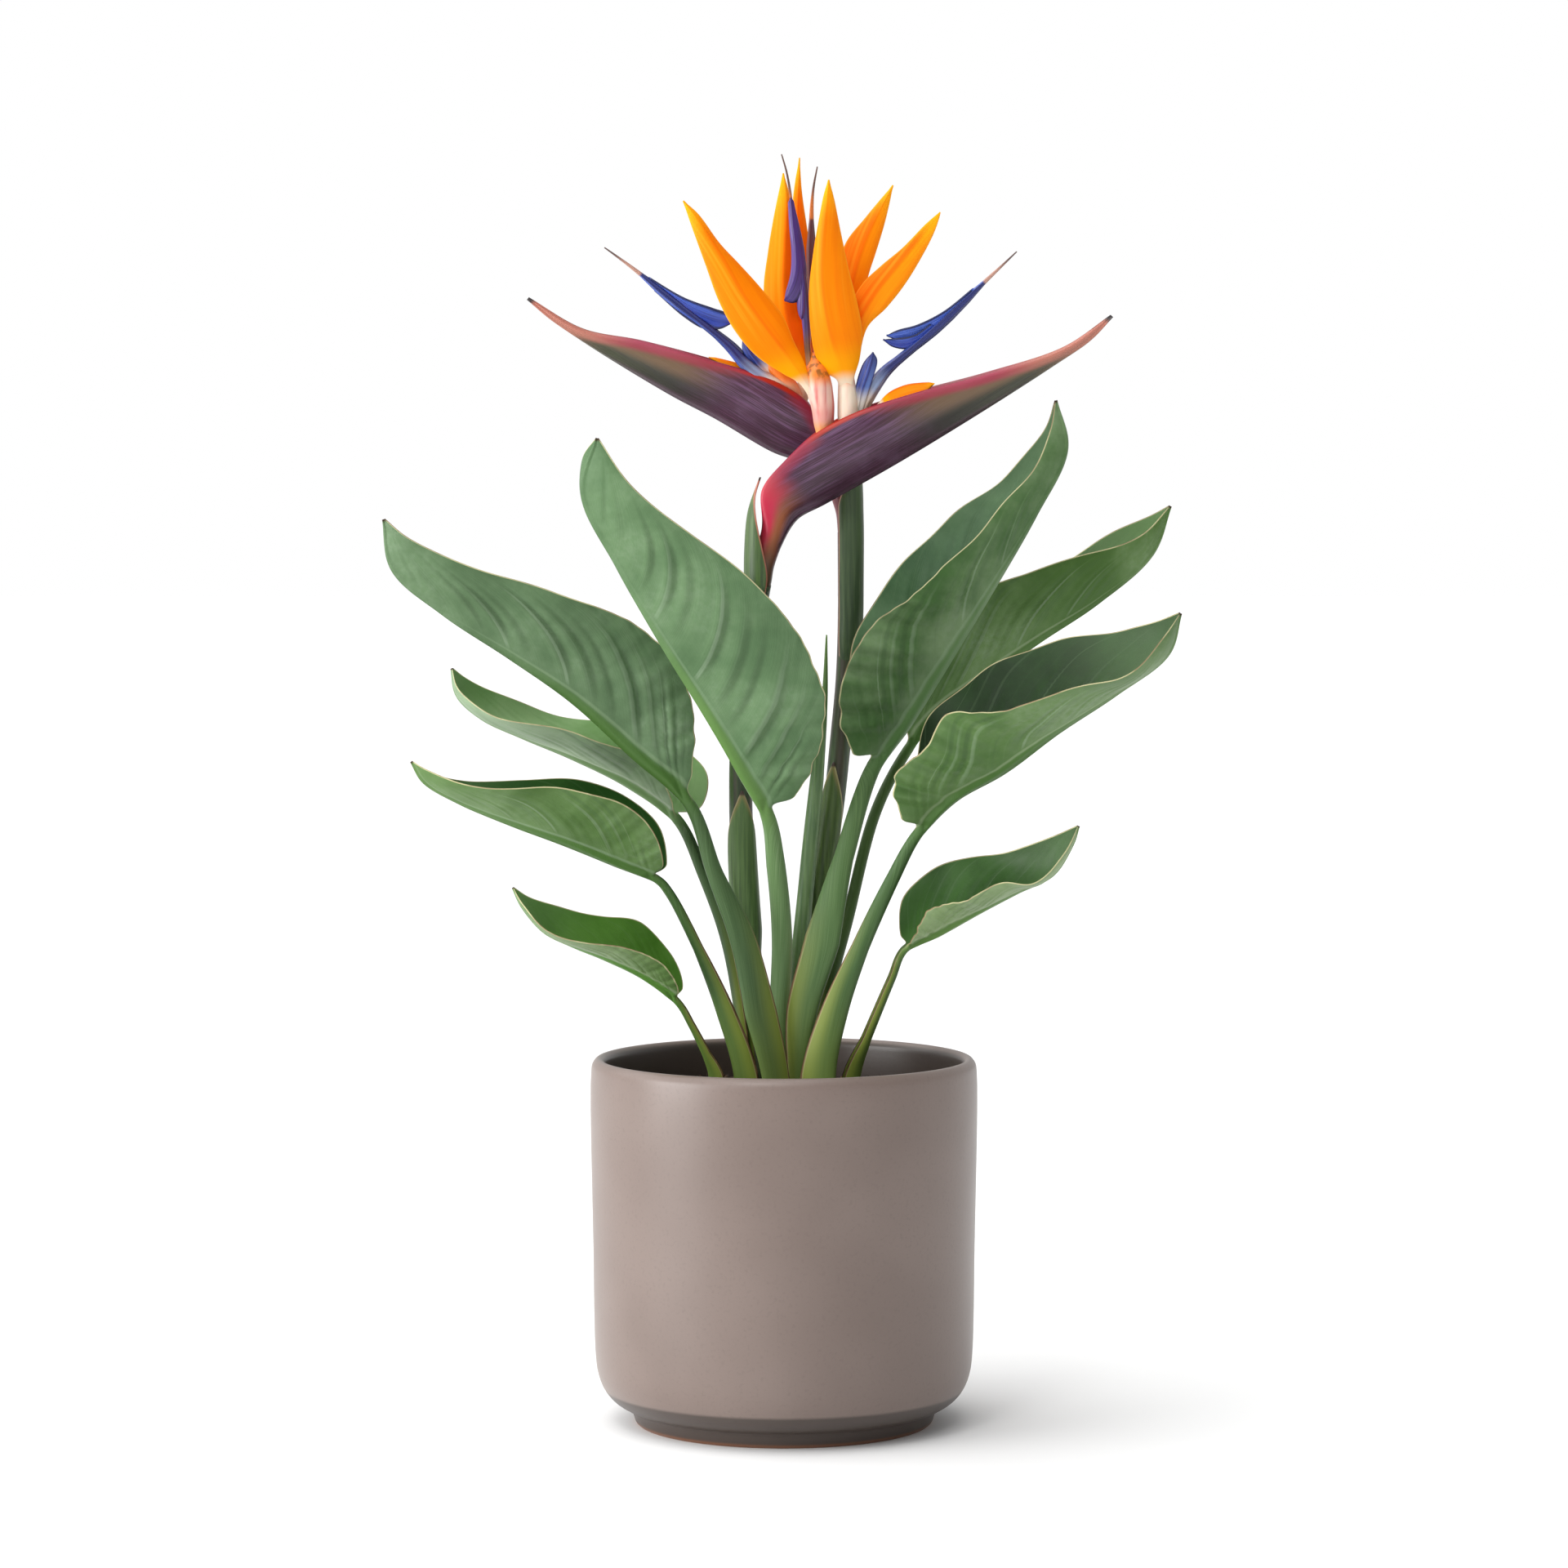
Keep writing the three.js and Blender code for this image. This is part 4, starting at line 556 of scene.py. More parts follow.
leaves = {
  "leaf_left_upper": dict(
    outer=["#4b6444", "#607a57"], inner=["#3a5c28", "#4d7535"], rib=["#47692f", "#7f9673"],
    stalk=["#425a37", "#5c764e"], near_waves=0.7, far_waves=0.7, ripple=1.2,
    stem=[[-2, -13, 139], [-4, -13, 173], [-11, -13, 204], [-20, -14, 240], [-34, -15, 273]],
    deep=[7.5, 8, 9.6, 7.6, 4.4, 3], wide=[4, 4, 4, 3.8, 3.4, 3],
    keel=[[-46, -16, 306], [-73, -18, 331], [-103, -22, 358], [-133, -26, 379], [-165, -30, 400],
      [-189, -33, 421], [-193.5, -34, 446]],
    near=[[-45, -16, 322], [-44, -18, 348], [-52, -20, 375], [-74, -26, 395], [-111, -34, 410],
      [-147, -38, 421], [-181, -38, 436]],
    far=[[-53, -4, 322], [-58, 10, 345], [-77, 16, 371], [-109, 14, 393], [-141, 6, 405], [-171, -12, 415],
      [-189, -25, 430]],
  ),
  "leaf_centre": dict(
    outer=["#4e6b47", "#66835c"], inner=["#3a5c28", "#4d7535"], rib=["#5f8442", "#7f9a76"],
    stalk=["#5b794a", "#7a9868"], near_waves=0.6, sweep=0.32, ripple=1,
    stem=[[-1, 7, 137], [-1, 7, 171], [-2, 6, 202], [-1, 4, 239], [-4, -8, 276]],
    deep=[4.4, 4.4, 4.8, 5, 4.6, 3.4], wide=[5.2, 5.4, 5.4, 5.2, 4.8, 3.6],
    keel=[[-8, -20, 301], [-21, -36, 325], [-37, -50, 352], [-58, -62, 386], [-79, -72, 423],
      [-95, -82, 457], [-88, -88, 484]],
    near=[[5, -26, 311], [17, -42, 335], [19, -52, 361], [6, -64, 391], [-15, -76, 416], [-44, -84, 438],
      [-73, -90, 462]],
    far=[[-12, -8, 316], [-22, -10, 340], [-36, -20, 366], [-56, -34, 394], [-78, -50, 426],
      [-95, -66, 454], [-95, -80, 474]],
  ),
  "leaf_left_middle": dict(
    # Painted light: this leaf's outer and inner colours are lighter than the others' for the light and sheen
    # on it.
    outer=["#718b66", "#93aa86"], inner=["#6c9853", "#8fb478"], rib=["#5c7c48", "#b3bda8"],
    stalk=["#344a2a", "#4a623d"], near_waves=0.3, ridges=0.3, ripple=1.6, ripples=3,
    stem=[[-14, 8, 137], [-17, 9, 170], [-21, 10, 202], [-28, 13, 238], [-40, 15, 270]],
    deep=[4, 4, 4, 3.8, 3, 2.6], wide=[3.4, 3.4, 3.2, 3, 2.8, 2.6],
    keel=[[-53, 18, 297], [-76, 20, 314], [-105, 22, 328], [-130, 24, 338], [-150, 26, 347],
      [-162, 26, 358], [-165, 26, 372]],
    near=[[-56, 8, 309], [-65, 0, 327], [-80, -4, 333], [-100, -8, 341], [-124, -8, 344], [-147, 2, 352],
      [-161, 14, 361]],
    far=[[-41, 30, 303], [-39, 40, 319], [-55, 50, 334], [-92, 54, 344], [-123, 50, 350], [-147, 40, 360],
      [-159, 32, 367]],
  ),
  "leaf_left_lower": dict(
    outer=["#4c6a36", "#62804b"], inner=["#1f4517", "#2d5620"], rib=["#4d7136", "#8ba283"],
    stalk=["#3d5a2e", "#527040"], near_waves=0.3, ridges=0.3, ripple=1.2, ripples=3,
    stem=[[-16, -4, 138], [-18, -4, 172], [-28, -4, 203], [-42, -5, 235], [-56, -6, 262]],
    deep=[6.4, 6.8, 5.2, 2.8, 2.4, 2.2], wide=[3.2, 3.2, 3, 2.6, 2.4, 2.2],
    keel=[[-62, -8, 269], [-83, -14, 278], [-107, -21, 288], [-133, -28, 298], [-158, -35, 309],
      [-174, -40, 319], [-180, -42, 329]],
    near=[[-59, -18, 278], [-64, -30, 294], [-80, -40, 309], [-102, -46, 315], [-129, -52, 316],
      [-157, -52, 319], [-173, -46, 325]],
    far=[[-58, 0, 274], [-62, 8, 294], [-78, 12, 309], [-100, 8, 316], [-128, -2, 318], [-155, -16, 317],
      [-172, -32, 323]],
  ),
  "leaf_left_small": dict(
    outer=["#587840", "#78905f"], inner=["#44741f", "#5c8a38"], rib=["#528034", "#9fb08c"],
    stalk=["#355526", "#4a6b34"], near_waves=0.3, ridges=0.3, ripple=0.8, ripples=3,
    stem=[[-30, -6, 139], [-33, -6, 172], [-38, -7, 183], [-45, -9, 197]], deep=[4, 4.2, 2.4, 1.9, 1.8],
    wide=[2.6, 2.4, 2, 1.9, 1.8],
    keel=[[-52, -12, 209], [-68, -18, 222], [-87, -26, 232], [-103, -32, 239], [-116, -37, 246],
      [-126, -41, 258], [-131, -43, 268]],
    near=[[-52, -22, 218], [-60, -36, 230], [-75, -46, 239], [-96, -52, 241], [-115, -54, 249],
      [-126, -50, 260]],
    far=[[-50, -4, 217], [-56, 0, 232], [-70, -4, 247], [-88, -12, 251], [-108, -22, 256],
      [-123, -34, 262]],
  ),
  "leaf_right_upper": dict(
    outer=["#466838", "#748f64"], inner=["#456544", "#5f815a"], rib=["#557845", "#8ba283"],
    stalk=["#48633a", "#647f50"], near_waves=1.9, ridges=0.4, ripple=1.8, ripples=5,
    stem=[[6, -4, 138], [6, -4, 172], [8, -4, 203], [18, -4, 239], [29, 0, 279]],
    deep=[4.6, 4.8, 8.6, 10, 5.4, 4], wide=[3, 3, 3.4, 3.6, 3.4, 3.2],
    keel=[[44, 2, 324], [60, 6, 346], [81, 11, 378], [102, 16, 411], [124, 21, 448], [139.5, 25, 480],
      [134.5, 28, 505]],
    near=[[34, -8, 331], [28, -14, 348], [30, -14, 373], [48, -10, 397], [76, -4, 419], [98, 4, 442],
      [122, 14, 469], [132, 22, 490]],
    far=[[43, 11, 337], [34, 15, 359], [34.5, 18, 385], [58, 29, 422], [81.5, 36, 445], [109, 39, 466],
      [129, 34, 489]],
  ),
  "leaf_right_back": dict(
    outer=["#446629", "#618049"], inner=["#3c5c2c", "#4d7038"], rib=["#4b6e32", "#9fb08c"],
    stalk=["#3b5128", "#4e683a"], near_waves=0.3, far_waves=0.5, ridges=0.45, ripple=1.4,
    stem=[[13, 7, 137], [14, 8, 170], [19, 12, 201], [31, 20, 245], [46, 36, 300]],
    deep=[3.5, 3.5, 3.3, 3, 2.8, 2.6], wide=[3.2, 3.2, 3.2, 3, 2.8, 2.6],
    keel=[[62, 46, 330], [78, 54, 349], [103, 64, 367], [130, 76, 385], [160, 88, 404], [188, 98, 428],
      [198, 102, 453]],
    near=[[60, 42, 343], [63, 42, 362], [78, 44, 387], [100, 52, 409], [123, 62, 419], [151, 74, 427],
      [183, 90, 438]],
    far=[[70, 56, 337], [74, 70, 351], [92, 90, 377], [117, 104, 406], [146, 112, 425], [170, 114, 439],
      [189, 108, 448]],
  ),
  "leaf_right_middle": dict(
    outer=["#4f6f3c", "#65824f"], inner=["#0f2608", "#223f19"], rib=["#4d7038", "#9fb08c"],
    stalk=["#3f5a33", "#587548"], near_waves=1.7, ridges=0.35, ripple=1.6, ripples=5,
    stem=[[17, -12, 139], [16, -12, 173], [24, -12, 204], [37, -13, 236], [53, -15, 270]],
    deep=[9.6, 10, 7.6, 4.8, 3.6, 2.8], wide=[3.4, 3.4, 3.4, 3.2, 3, 2.8],
    keel=[[65, -18, 292], [82, -26, 310], [106, -35, 324], [131, -46, 343], [159, -56, 362],
      [183, -64, 381], [189, -68, 401]],
    near=[[57, -28, 301], [54, -42, 322], [69, -54, 337], [80, -64, 353], [109, -72, 354], [132, -80, 365],
      [158, -84, 369], [180, -78, 389]],
    far=[[65, -8, 306], [65, -4, 328], [72, -4, 349], [95, -8, 369], [122, -16, 383], [149, -26, 389],
      [173, -46, 394]],
  ),
  "leaf_right_small": dict(
    # Painted sheen: this leaf's outer colours are lighter for the sheen on its outside.
    outer=["#6f8a55", "#92a97a"], inner=["#203f12", "#335820"], rib=["#587d3c", "#9fb08c"],
    stalk=["#365227", "#4b6a34"], near_waves=0.8, ridges=0.3, ripple=1, ripples=3,
    stem=[[29, -5, 138], [33, -5, 172], [40.5, -7, 191], [52.5, -10, 220]], deep=[5, 5, 2.8, 2.2, 2],
    wide=[2.8, 2.8, 2.4, 2.1, 2],
    keel=[[59, -14, 235], [76, -20, 244], [95, -27, 255], [113, -34, 265], [130, -40, 274], [139, -44, 289],
      [142, -46, 298]],
    near=[[63, -24, 242], [71, -38, 256], [88, -50, 263], [105, -56, 270], [119, -58, 271],
      [135, -54, 285]],
    far=[[57, -4, 245], [59, 0, 260], [72, -4, 273], [92, -12, 280], [111, -24, 284], [130, -38, 292]],
  ),
}
for name, leaf in leaves.items():
    body, measures = blade(leaf, LEAF_STEM_ROWS, LEAF_BLADE_ROWS, LEAF_COLUMNS, LEAF_THICKNESS, bulge=0.06,
                           rib=0.7, relief=leaf_relief)
    measures["vein"] = vein_count(leaf, measures["share"], np.abs(measures["side"]))
    finish = leaf_material(leaf["outer"], leaf["inner"], leaf["rib"], leaf["stalk"])
    add_piece(name + "_blade", body, finish, [name], measures)

# ----------------------------------------
# The young leaf: still rolled lengthwise into a spear, with its outer margin running down it as a
# raised seam. Its skin is as smooth and waxed as a stalk's.
# ----------------------------------------
TUBE_SIDES = 40
TUBE_ROWS = 120


def evenly(values, share):
    """The value at each share of the way, where the given ones are spread evenly along it."""
    return np.interp(share * (len(values) - 1), np.arange(len(values)), values)


def tube_rings(path, radii, sides, rows, seam=0.0, groove=0.0):
    """Rings about a curve, with the radii spread evenly along it. A seam makes each ring a spiral that
    gains that share of its radius in one turn and steps back. A groove is a share of the radius that
    six waves about the ring rise and fall by."""
    share = np.linspace(0, 1, rows)
    centre = by_length(path, share)
    tangent = unit(np.gradient(centre, axis=0))
    side = unit(np.cross(tangent, [0, 1, 0]))
    front = np.cross(side, tangent)
    angle = np.linspace(0, 2 * np.pi, sides, endpoint=False)
    swell = 1 + seam * np.linspace(0, 1, sides)[None] ** 3 + groove * np.cos(6 * angle)
    swell = evenly(radii, share)[:, None] * swell
    across = side[:, None] * (swell * np.cos(angle))[..., None]
    return centre[:, None] + across + front[:, None] * (swell * np.sin(angle))[..., None]


def stalk_material(name, base, streak, flush, neck, neck_from, neck_to):
    """Smooth green plant stalk with a thin wax bloom: satin, with fine lengthwise fibres that show as
    paler streaks, brownish stretches, and a second colour that comes in between two heights."""
    material, tree, place = start_material(name, "place")
    stretch = add_node(tree, "Mapping", {"Vector": place, "Scale": (1, 1, 0.03)})
    fibres = add_node(tree, "TexNoise", {"Vector": stretch, "Scale": 700.0, "Detail": 3.0})
    broad = add_node(tree, "TexNoise", {"Vector": stretch, "Scale": 130.0, "Detail": 2.0})
    patches = add_node(tree, "TexNoise", {"Vector": place, "Scale": 40.0, "Detail": 3.0})
    height = add_node(tree, "SeparateXYZ", {"Vector": place}, "Z")
    colour = layered(tree, base, [
        (streak, 1.0, (fibres, 0.4, 0.68)),
        (streak, 0.3, (patches, 0.4, 0.7)),
        (flush, 0.75, (broad, 0.48, 0.62)),
        (neck, 0.9, (height, neck_from, neck_to)),
    ])
    finish_material(tree, colour, (patches, 0.34, 0.5), (fibres, 0.25, FINE_RELIEF))
    return material


spear_path = [[2, 17, 136], [3, 17, 169], [6.5, 17, 217], [10.6, 16, 258], [13.6, 15, 290],
              [17, 13, 323], [20, 11, 355], [21, 8, 388.5]]
spear_radii = [3.2, 3.4, 3.8, 3.8, 3.6, 3.2, 1.6, 0.4]
spear_body = closed_rings(tube_rings(spear_path, spear_radii, TUBE_SIDES, TUBE_ROWS, seam=0.14))
spear_finish = stalk_material("rolled young leaf", "#4c6a3f", "#678451", "#5b7a44", "#6f8f4e", 0.33, 0.39)
add_piece("spear_roll", spear_body, spear_finish, ["leaf_spear"])

# ----------------------------------------
# The flower stalks: two round, dark green stems that lean apart from the clump's middle and curve
# into the necks of the flower heads.
# ----------------------------------------
stalks = {
  "stalk_left": dict(
    path=[[-10, 24, 135], [-12, 24, 169], [-16, 25, 216], [-20, 25, 265], [-21.5, 25, 306], [-21, 24, 338],
      [-18, 20, 371], [-14.5, 13, 399], [-12, 9, 413.8]],
    radii=[6, 6, 6, 6, 6, 5.8, 5.6, 5.6, 5.8],
  ),
  "stalk_right": dict(
    path=[[5, 28, 134], [7, 28, 168], [11.5, 28, 216], [17.5, 28, 261], [24, 28, 298], [28, 28, 334],
      [31.2, 28, 367], [32.4, 29, 399], [32.4, 30, 439]],
    radii=[5, 5, 5.2, 5.2, 5.2, 5.3, 5.5, 5.7, 5.8],
  ),
}
stalk_finish = stalk_material("waxed flower stalk", "#2c3c22", "#455a34", "#42362f", "#7a3438", 0.425, 0.447)
for name, stalk in stalks.items():
    body = closed_rings(tube_rings(stalk["path"], stalk["radii"], TUBE_SIDES, TUBE_ROWS))
    add_piece(name + "_stem", body, stalk_finish, [name])

# ----------------------------------------
# The bracts: pointed sheaths that clasp the stalks, two halfway up and one below each flower head.
# Each is one thin leathery sheet with a drier, coloured margin.
# ----------------------------------------
BRACT_ROWS = 90
BRACT_COLUMNS = 40
BRACT_THICKNESS = 1.0
BRACT_TUCK = 1.7
bracts = {
  "bract_left_upper": dict(
    facing=190, axis=[[-14.5, 13, 399], [-12, 9, 414.5], [-11.4, 9, 430], [-11, 9, 448], [-9.6, 9, 466]],
    radii=[6.4, 6.9, 7.2, 6, 1.6], spreads=[112, 110, 84, 52, 4],
  ),
  "bract_left_lower": dict(
    facing=275, axis=[[-17, 25, 225], [-19, 25, 250], [-20.6, 25, 275], [-21.3, 25, 293], [-21.4, 24, 311]],
    radii=[6.6, 6.6, 6.6, 6.7, 6.9], spreads=[120, 115, 100, 70, 4],
  ),
  "bract_right_upper": dict(
    facing=330,
    axis=[[31.2, 28, 367], [32.4, 29, 397], [32.4, 29.4, 415], [32.4, 30, 435], [32, 30, 448],
      [30.8, 30, 473]],
    radii=[5.7, 6, 6.2, 6.3, 6.6, 6.8], spreads=[112, 112, 112, 110, 104, 6],
  ),
  "bract_right_lower": dict(
    facing=245, axis=[[14, 28, 236], [18, 28, 264], [22, 28, 288], [25, 28, 306], [27.5, 28, 325]],
    radii=[5.9, 5.9, 5.9, 6, 6.2], spreads=[120, 115, 100, 70, 4],
  ),
}


def bract(axis, radii, facing, spreads):
    """A sheet that wraps an axis, as points and faces, and its measures. It spans an equal spread of
    angles on both sides of the one it faces, thins towards its margins, and its foot is drawn in around
    the stalk."""
    share = np.linspace(0, 1, BRACT_ROWS)
    centre = by_length(axis, share)[:, None]
    profile = smooth_points([[k, *pair] for k, pair in enumerate(zip(radii, spreads))], share)
    radius, spread = profile[:, 1:2], profile[:, 2:3]
    place = np.linspace(-1, 1, BRACT_COLUMNS)[None]
    angle = np.radians(facing + place * spread)
    way = np.stack([np.cos(angle), np.sin(angle), 0 * angle], axis=-1)
    half = BRACT_THICKNESS / 2 * (1 - 0.75 * place ** 6)
    middle = radius + BRACT_THICKNESS / 2 - BRACT_TUCK * (1 - ease(share / 0.22)[:, None])
    outer = centre + way * (middle + half)[..., None]
    inner = centre + way * (middle - half)[..., None]
    edge = (1 - np.abs(place)) * np.radians(spread) * radius
    rings, edge = (np.concatenate([out, back[:, ::-1]], axis=1)
                   for out, back in ((outer, inner), (edge, edge)))
    return closed_rings(rings), {"edge": with_ends(edge), "share": with_ends(share[:, None] + 0 * edge)}


def bract_material(name, base, streak, margin, tip):
    """Leathery bract: a satin green sheet with lengthwise fibres, a dry coloured margin and point."""
    material, tree, place, edge, share = start_material(name, "place", "edge", "share")
    stretch = add_node(tree, "Mapping", {"Vector": place, "Scale": (1, 1, 0.04)})
    fibres = add_node(tree, "TexNoise", {"Vector": stretch, "Scale": 800.0, "Detail": 3.0})
    colour = layered(tree, base, [
        (streak, 1.0, (fibres, 0.36, 0.68)),
        (streak, 0.5, (share, 0.3, 0.9)),
        (tip, 0.8, (share, 0.78, 0.95), (edge, 2.6, 0.6)),
        (margin, 1.0, (edge, 0.9, 0.35)),
        ("#3a261c", 1.0, (share, 0.965, 0.985)),
    ])
    finish_material(tree, colour, 0.44, (fibres, 0.25, FINE_RELIEF))
    return material


bract_finishes = {
    "bract_left_upper": bract_material("light green bract", "#3f5531", "#556f3c", "#b5705c", "#a5602e"),
    "bract_right_upper": bract_material("dark green bract", "#33462b", "#4a5f3a", "#a97a64", "#6b5a38"),
    "bract_left_lower": bract_material("green bract", "#405a2c", "#58753e", "#93845f", "#8a7a48"),
    "bract_right_lower": bract_material("olive bract", "#334a1c", "#4e662c", "#9c9468", "#8a7a48"),
}
for name, shape in bracts.items():
    body, measures = bract(**shape)
    add_piece(name + "_sheet", body, bract_finishes[name], [name], measures)

# ----------------------------------------
# The spathes: two hard, beak-shaped sheaths that leave their stalks at a bend. Each is folded along
# its lower edge and parts along the top, where the flowers come out.
# ----------------------------------------
SPATHE_STEM_ROWS = 24
SPATHE_ROWS = 260
SPATHE_COLUMNS = 49
SPATHE_THICKNESS = 1.6
CHANNEL_DEPTH = 8
spathes = {
  "spathe_front": dict(
    stem=[[-13.4, 11.2, 406], [-12, 9, 415.6]], deep=[5.4, 6, 6], wide=[5.4, 5.8, 6],
    keel=[[-10.5, 9, 424], [-6, 9, 435], [4, 9, 447], [20, 9, 455], [52, 9, 472.5], [91, 8, 496],
      [131, 6, 521.5], [150, 4, 534.5], [161, 2, 545.4]],
    near=[[-13, 3.4, 441], [-10, 3, 460], [0.5, 2, 473], [15, 0, 486], [34, -1, 496.3], [64, 0, 506.3],
      [101, 2, 516.3], [137.5, 3, 529]],
    far=[[-13, 14.6, 441], [-10, 15, 460], [0.5, 16, 473], [15, 18, 487], [34, 19, 498], [64, 17, 507.6],
      [101, 11, 517.4], [137.5, 6, 529.5]],
  ),
  "spathe_back": dict(
    stem=[[32.4, 29.6, 429], [32.4, 30, 440.4]], deep=[5.5, 5.8, 5.8], wide=[5.5, 5.8, 6],
    keel=[[30.8, 30, 452], [24, 31, 466], [8, 32, 476], [-5, 32, 480.5], [-34, 32, 497], [-55, 32, 508],
      [-94, 31, 531.5], [-115, 29, 545.5], [-127.3, 28, 555.1]],
    near=[[31, 25, 468], [25, 24, 482], [17, 23, 494], [9.7, 22, 504], [-8, 23, 514.2], [-36, 25, 523.2],
      [-71, 27, 533], [-100, 28, 539]],
    far=[[31, 37, 468], [25, 38, 482], [17, 40, 494], [9.7, 41, 505.5], [-8, 40, 515.6], [-36, 37, 524.4],
      [-71, 33, 533.5], [-100, 30, 539.5]],
  ),
}


def spathe_channel(share):
    """Depth of the channel between the upper margins: 0.8 mm, and deep where the flowers stand."""
    return 0.8 + CHANNEL_DEPTH * ease((share - 0.18) / 0.1) * (1 - ease((share - 0.48) / 0.16))


def spathe_material(name, bend, glow, neck):
    """Spathe skin: hard, smooth and waxed, dark purple with fine lengthwise nerves and lilac streaks, partly
    wax bloom and partly painted sheen, turning grey-green and tan along the beak. The margin runs from
    crimson over orange-red to rose."""
    material, tree, place, side, edge, along, share, grain = start_material(
        name, "place", "side", "edge", "along", "share", "grain")
    level = add_node(tree, "Math", {0: side}, operation="ABSOLUTE")
    nerves = add_node(tree, "TexNoise", {"Vector": grain, "Scale": 2.3, "Detail": 5.0, "Roughness": 0.6})
    broad = add_node(tree, "TexNoise", {"Vector": grain, "Scale": 0.3, "Detail": 2.0})
    bloom = add_node(tree, "TexNoise", {"Vector": place, "Scale": 60.0, "Detail": 4.0})
    skin = layered(tree, "#38192c", [
        ("#54304a", 1.0, (nerves, 0.42, 0.64)),
        # Lilac streaks towards the upper sides: partly wax bloom, partly painted sheen.
        ("#7a5a80", 0.45, (broad, 0.42, 0.62), (nerves, 0.38, 0.6), (level, 0.15, 0.4)),
        ("#846a88", 0.2, (bloom, 0.5, 0.75)),
    ])
    margin = layered(tree, "#901838", [
        ("#a82208", 1.0, (share, 0.28, 0.33)),
        ("#8e1a34", 1.0, (share, 0.38, 0.5)),
        ("#9a3048", 1.0, (share, 0.52, 0.66)),
        ("#b06c5c", 1.0, (share, 0.7, 0.84)),
    ])
    colour = layered(tree, skin, [
        ("#2c2c25", 0.9, (share, 0.4, 0.58), (level, 0.85, 0.35)),
        ("#454b2e", 0.6, (share, 0.52, 0.75), (level, 0.95, 0.5), (nerves, 0.3, 0.6)),
        ("#6e563c", 0.85, (share, 0.42, 0.6), (level, 0.3, 0.62)),
        ("#8c6850", 0.85, (share, 0.74, 0.95)),
        ("#5d4054", 0.5, (level, 0.12, 0.02), (share, 0.2, 0.4), (share, 0.8, 0.6)),
        (margin, 0.8, (edge, 6.0, 2.5), (share, 0.4, 0.55)),
        (margin, 0.7, (edge, 6.5, 2.5), (share, 0.34, 0.28)),
        (margin, 1.0, (edge, 2.2, 0.7)),
        (glow, 0.9, (share, 0.22, 0.1), (level, 0.1, 0.36)),
        (bend, 1.0, (share, 0.23, 0.13), (level, 0.42, 0.72)),
        (neck, 0.9, (along, 22.0, -4.0)),
        ("#3d3636", 1.0, (share, 0.972, 0.988)),
    ])
    finish_material(tree, colour, (bloom, 0.26, 0.5), (nerves, 0.2, FINE_RELIEF))
    return material


spathe_finishes = {
    "spathe_front": spathe_material("waxed spathe skin, glowing bend", "#c42446", "#b5602c", "#46341f"),
    "spathe_back": spathe_material("waxed spathe skin, dark bend", "#6b1a30", "#4d2234", "#7a3438"),
}
for name, spathe in spathes.items():
    body, measures = blade(spathe, SPATHE_STEM_ROWS, SPATHE_ROWS, SPATHE_COLUMNS, SPATHE_THICKNESS,
                           bulge=0.14, rib=0.9, rib_fade=10, join=0.16, channel=spathe_channel, cut=0.15,
                           hollow=0)
    add_piece(name + "_beak", body, spathe_finishes[name], [name], measures)

# ----------------------------------------
# The floral tubes: the fleshy, pale necks of the single flowers. They grow out of the open spathes and
# carry the sepals round their tops.
# ----------------------------------------
NECK_ROWS = 40
floral_tubes = {
  "floral_tube_pink": dict(
    path=[[20.5, 8, 484], [19.6, 7.6, 492], [19, 7, 501], [17.6, 6.8, 509], [16, 6.8, 517], [14.6, 7, 527]],
    radii=[3.6, 5, 5.8, 6.4, 6, 1.6],
  ),
  "floral_tube_cream": dict(
    path=[[32.6, 9, 489], [31.8, 9, 497], [31.2, 9, 505], [30.8, 9, 512], [30.4, 9, 519], [30.4, 9, 526]],
    radii=[5.6, 5.6, 5, 4.3, 3.4, 1],
  ),
  "floral_tube_back": dict(
    path=[[9.4, 31, 499.5], [7, 30, 505], [2.4, 28.6, 511.4], [-2.6, 28, 517], [-7, 27.6, 522],
      [-10, 27.4, 526]],
    radii=[2.6, 3.4, 4.2, 4.2, 3.4, 1.6],
  ),
}


def tube_material(name, base, flush, stain):
    """Fleshy floral tube: pale, moist and slightly see-through, with coloured lengthwise streaks, an
    orange top, and brown stains of the given share where the sepals spring."""
    material, tree, place = start_material(name, "place")
    stretch = add_node(tree, "Mapping", {"Vector": place, "Scale": (1, 1, 0.08)})
    streaks = add_node(tree, "TexNoise", {"Vector": stretch, "Scale": 260.0, "Detail": 3.0})
    stains = add_node(tree, "TexNoise", {"Vector": place, "Scale": 330.0, "Detail": 4.0})
    height = add_node(tree, "SeparateXYZ", {"Vector": place}, "Z")
    colour = layered(tree, base, [
        (flush, 1.0, (streaks, 0.45, 0.72)),
        (flush, 0.5, (height, 0.504, 0.496)),
        ("#f0a03c", 0.8, (height, 0.495, 0.488)),
        ("#f08010", 0.95, (height, 0.509, 0.516)),
        ("#5e4216", stain, (height, 0.512, 0.518), (stains, 0.45, 0.6)),
    ])
    moist = {"Subsurface Weight": 0.2, "Subsurface Scale": 0.002}
    finish_material(tree, colour, 0.38, (streaks, 0.3, 0.0004), moist)
    return material


tube_finishes = {
    "floral_tube_pink": tube_material("pink floral tube", "#e8bfae", "#cf5c5c", 0.7),
    "floral_tube_cream": tube_material("cream floral tube", "#ead9c4", "#e6c6b2", 0.0),
    "floral_tube_back": tube_material("peach floral tube", "#ecc3a0", "#e29a76", 0.0),
}
for name, tube in floral_tubes.items():
    body = closed_rings(tube_rings(tube["path"], tube["radii"], TUBE_SIDES, NECK_ROWS))
    add_piece(name + "_neck", body, tube_finishes[name], [name])

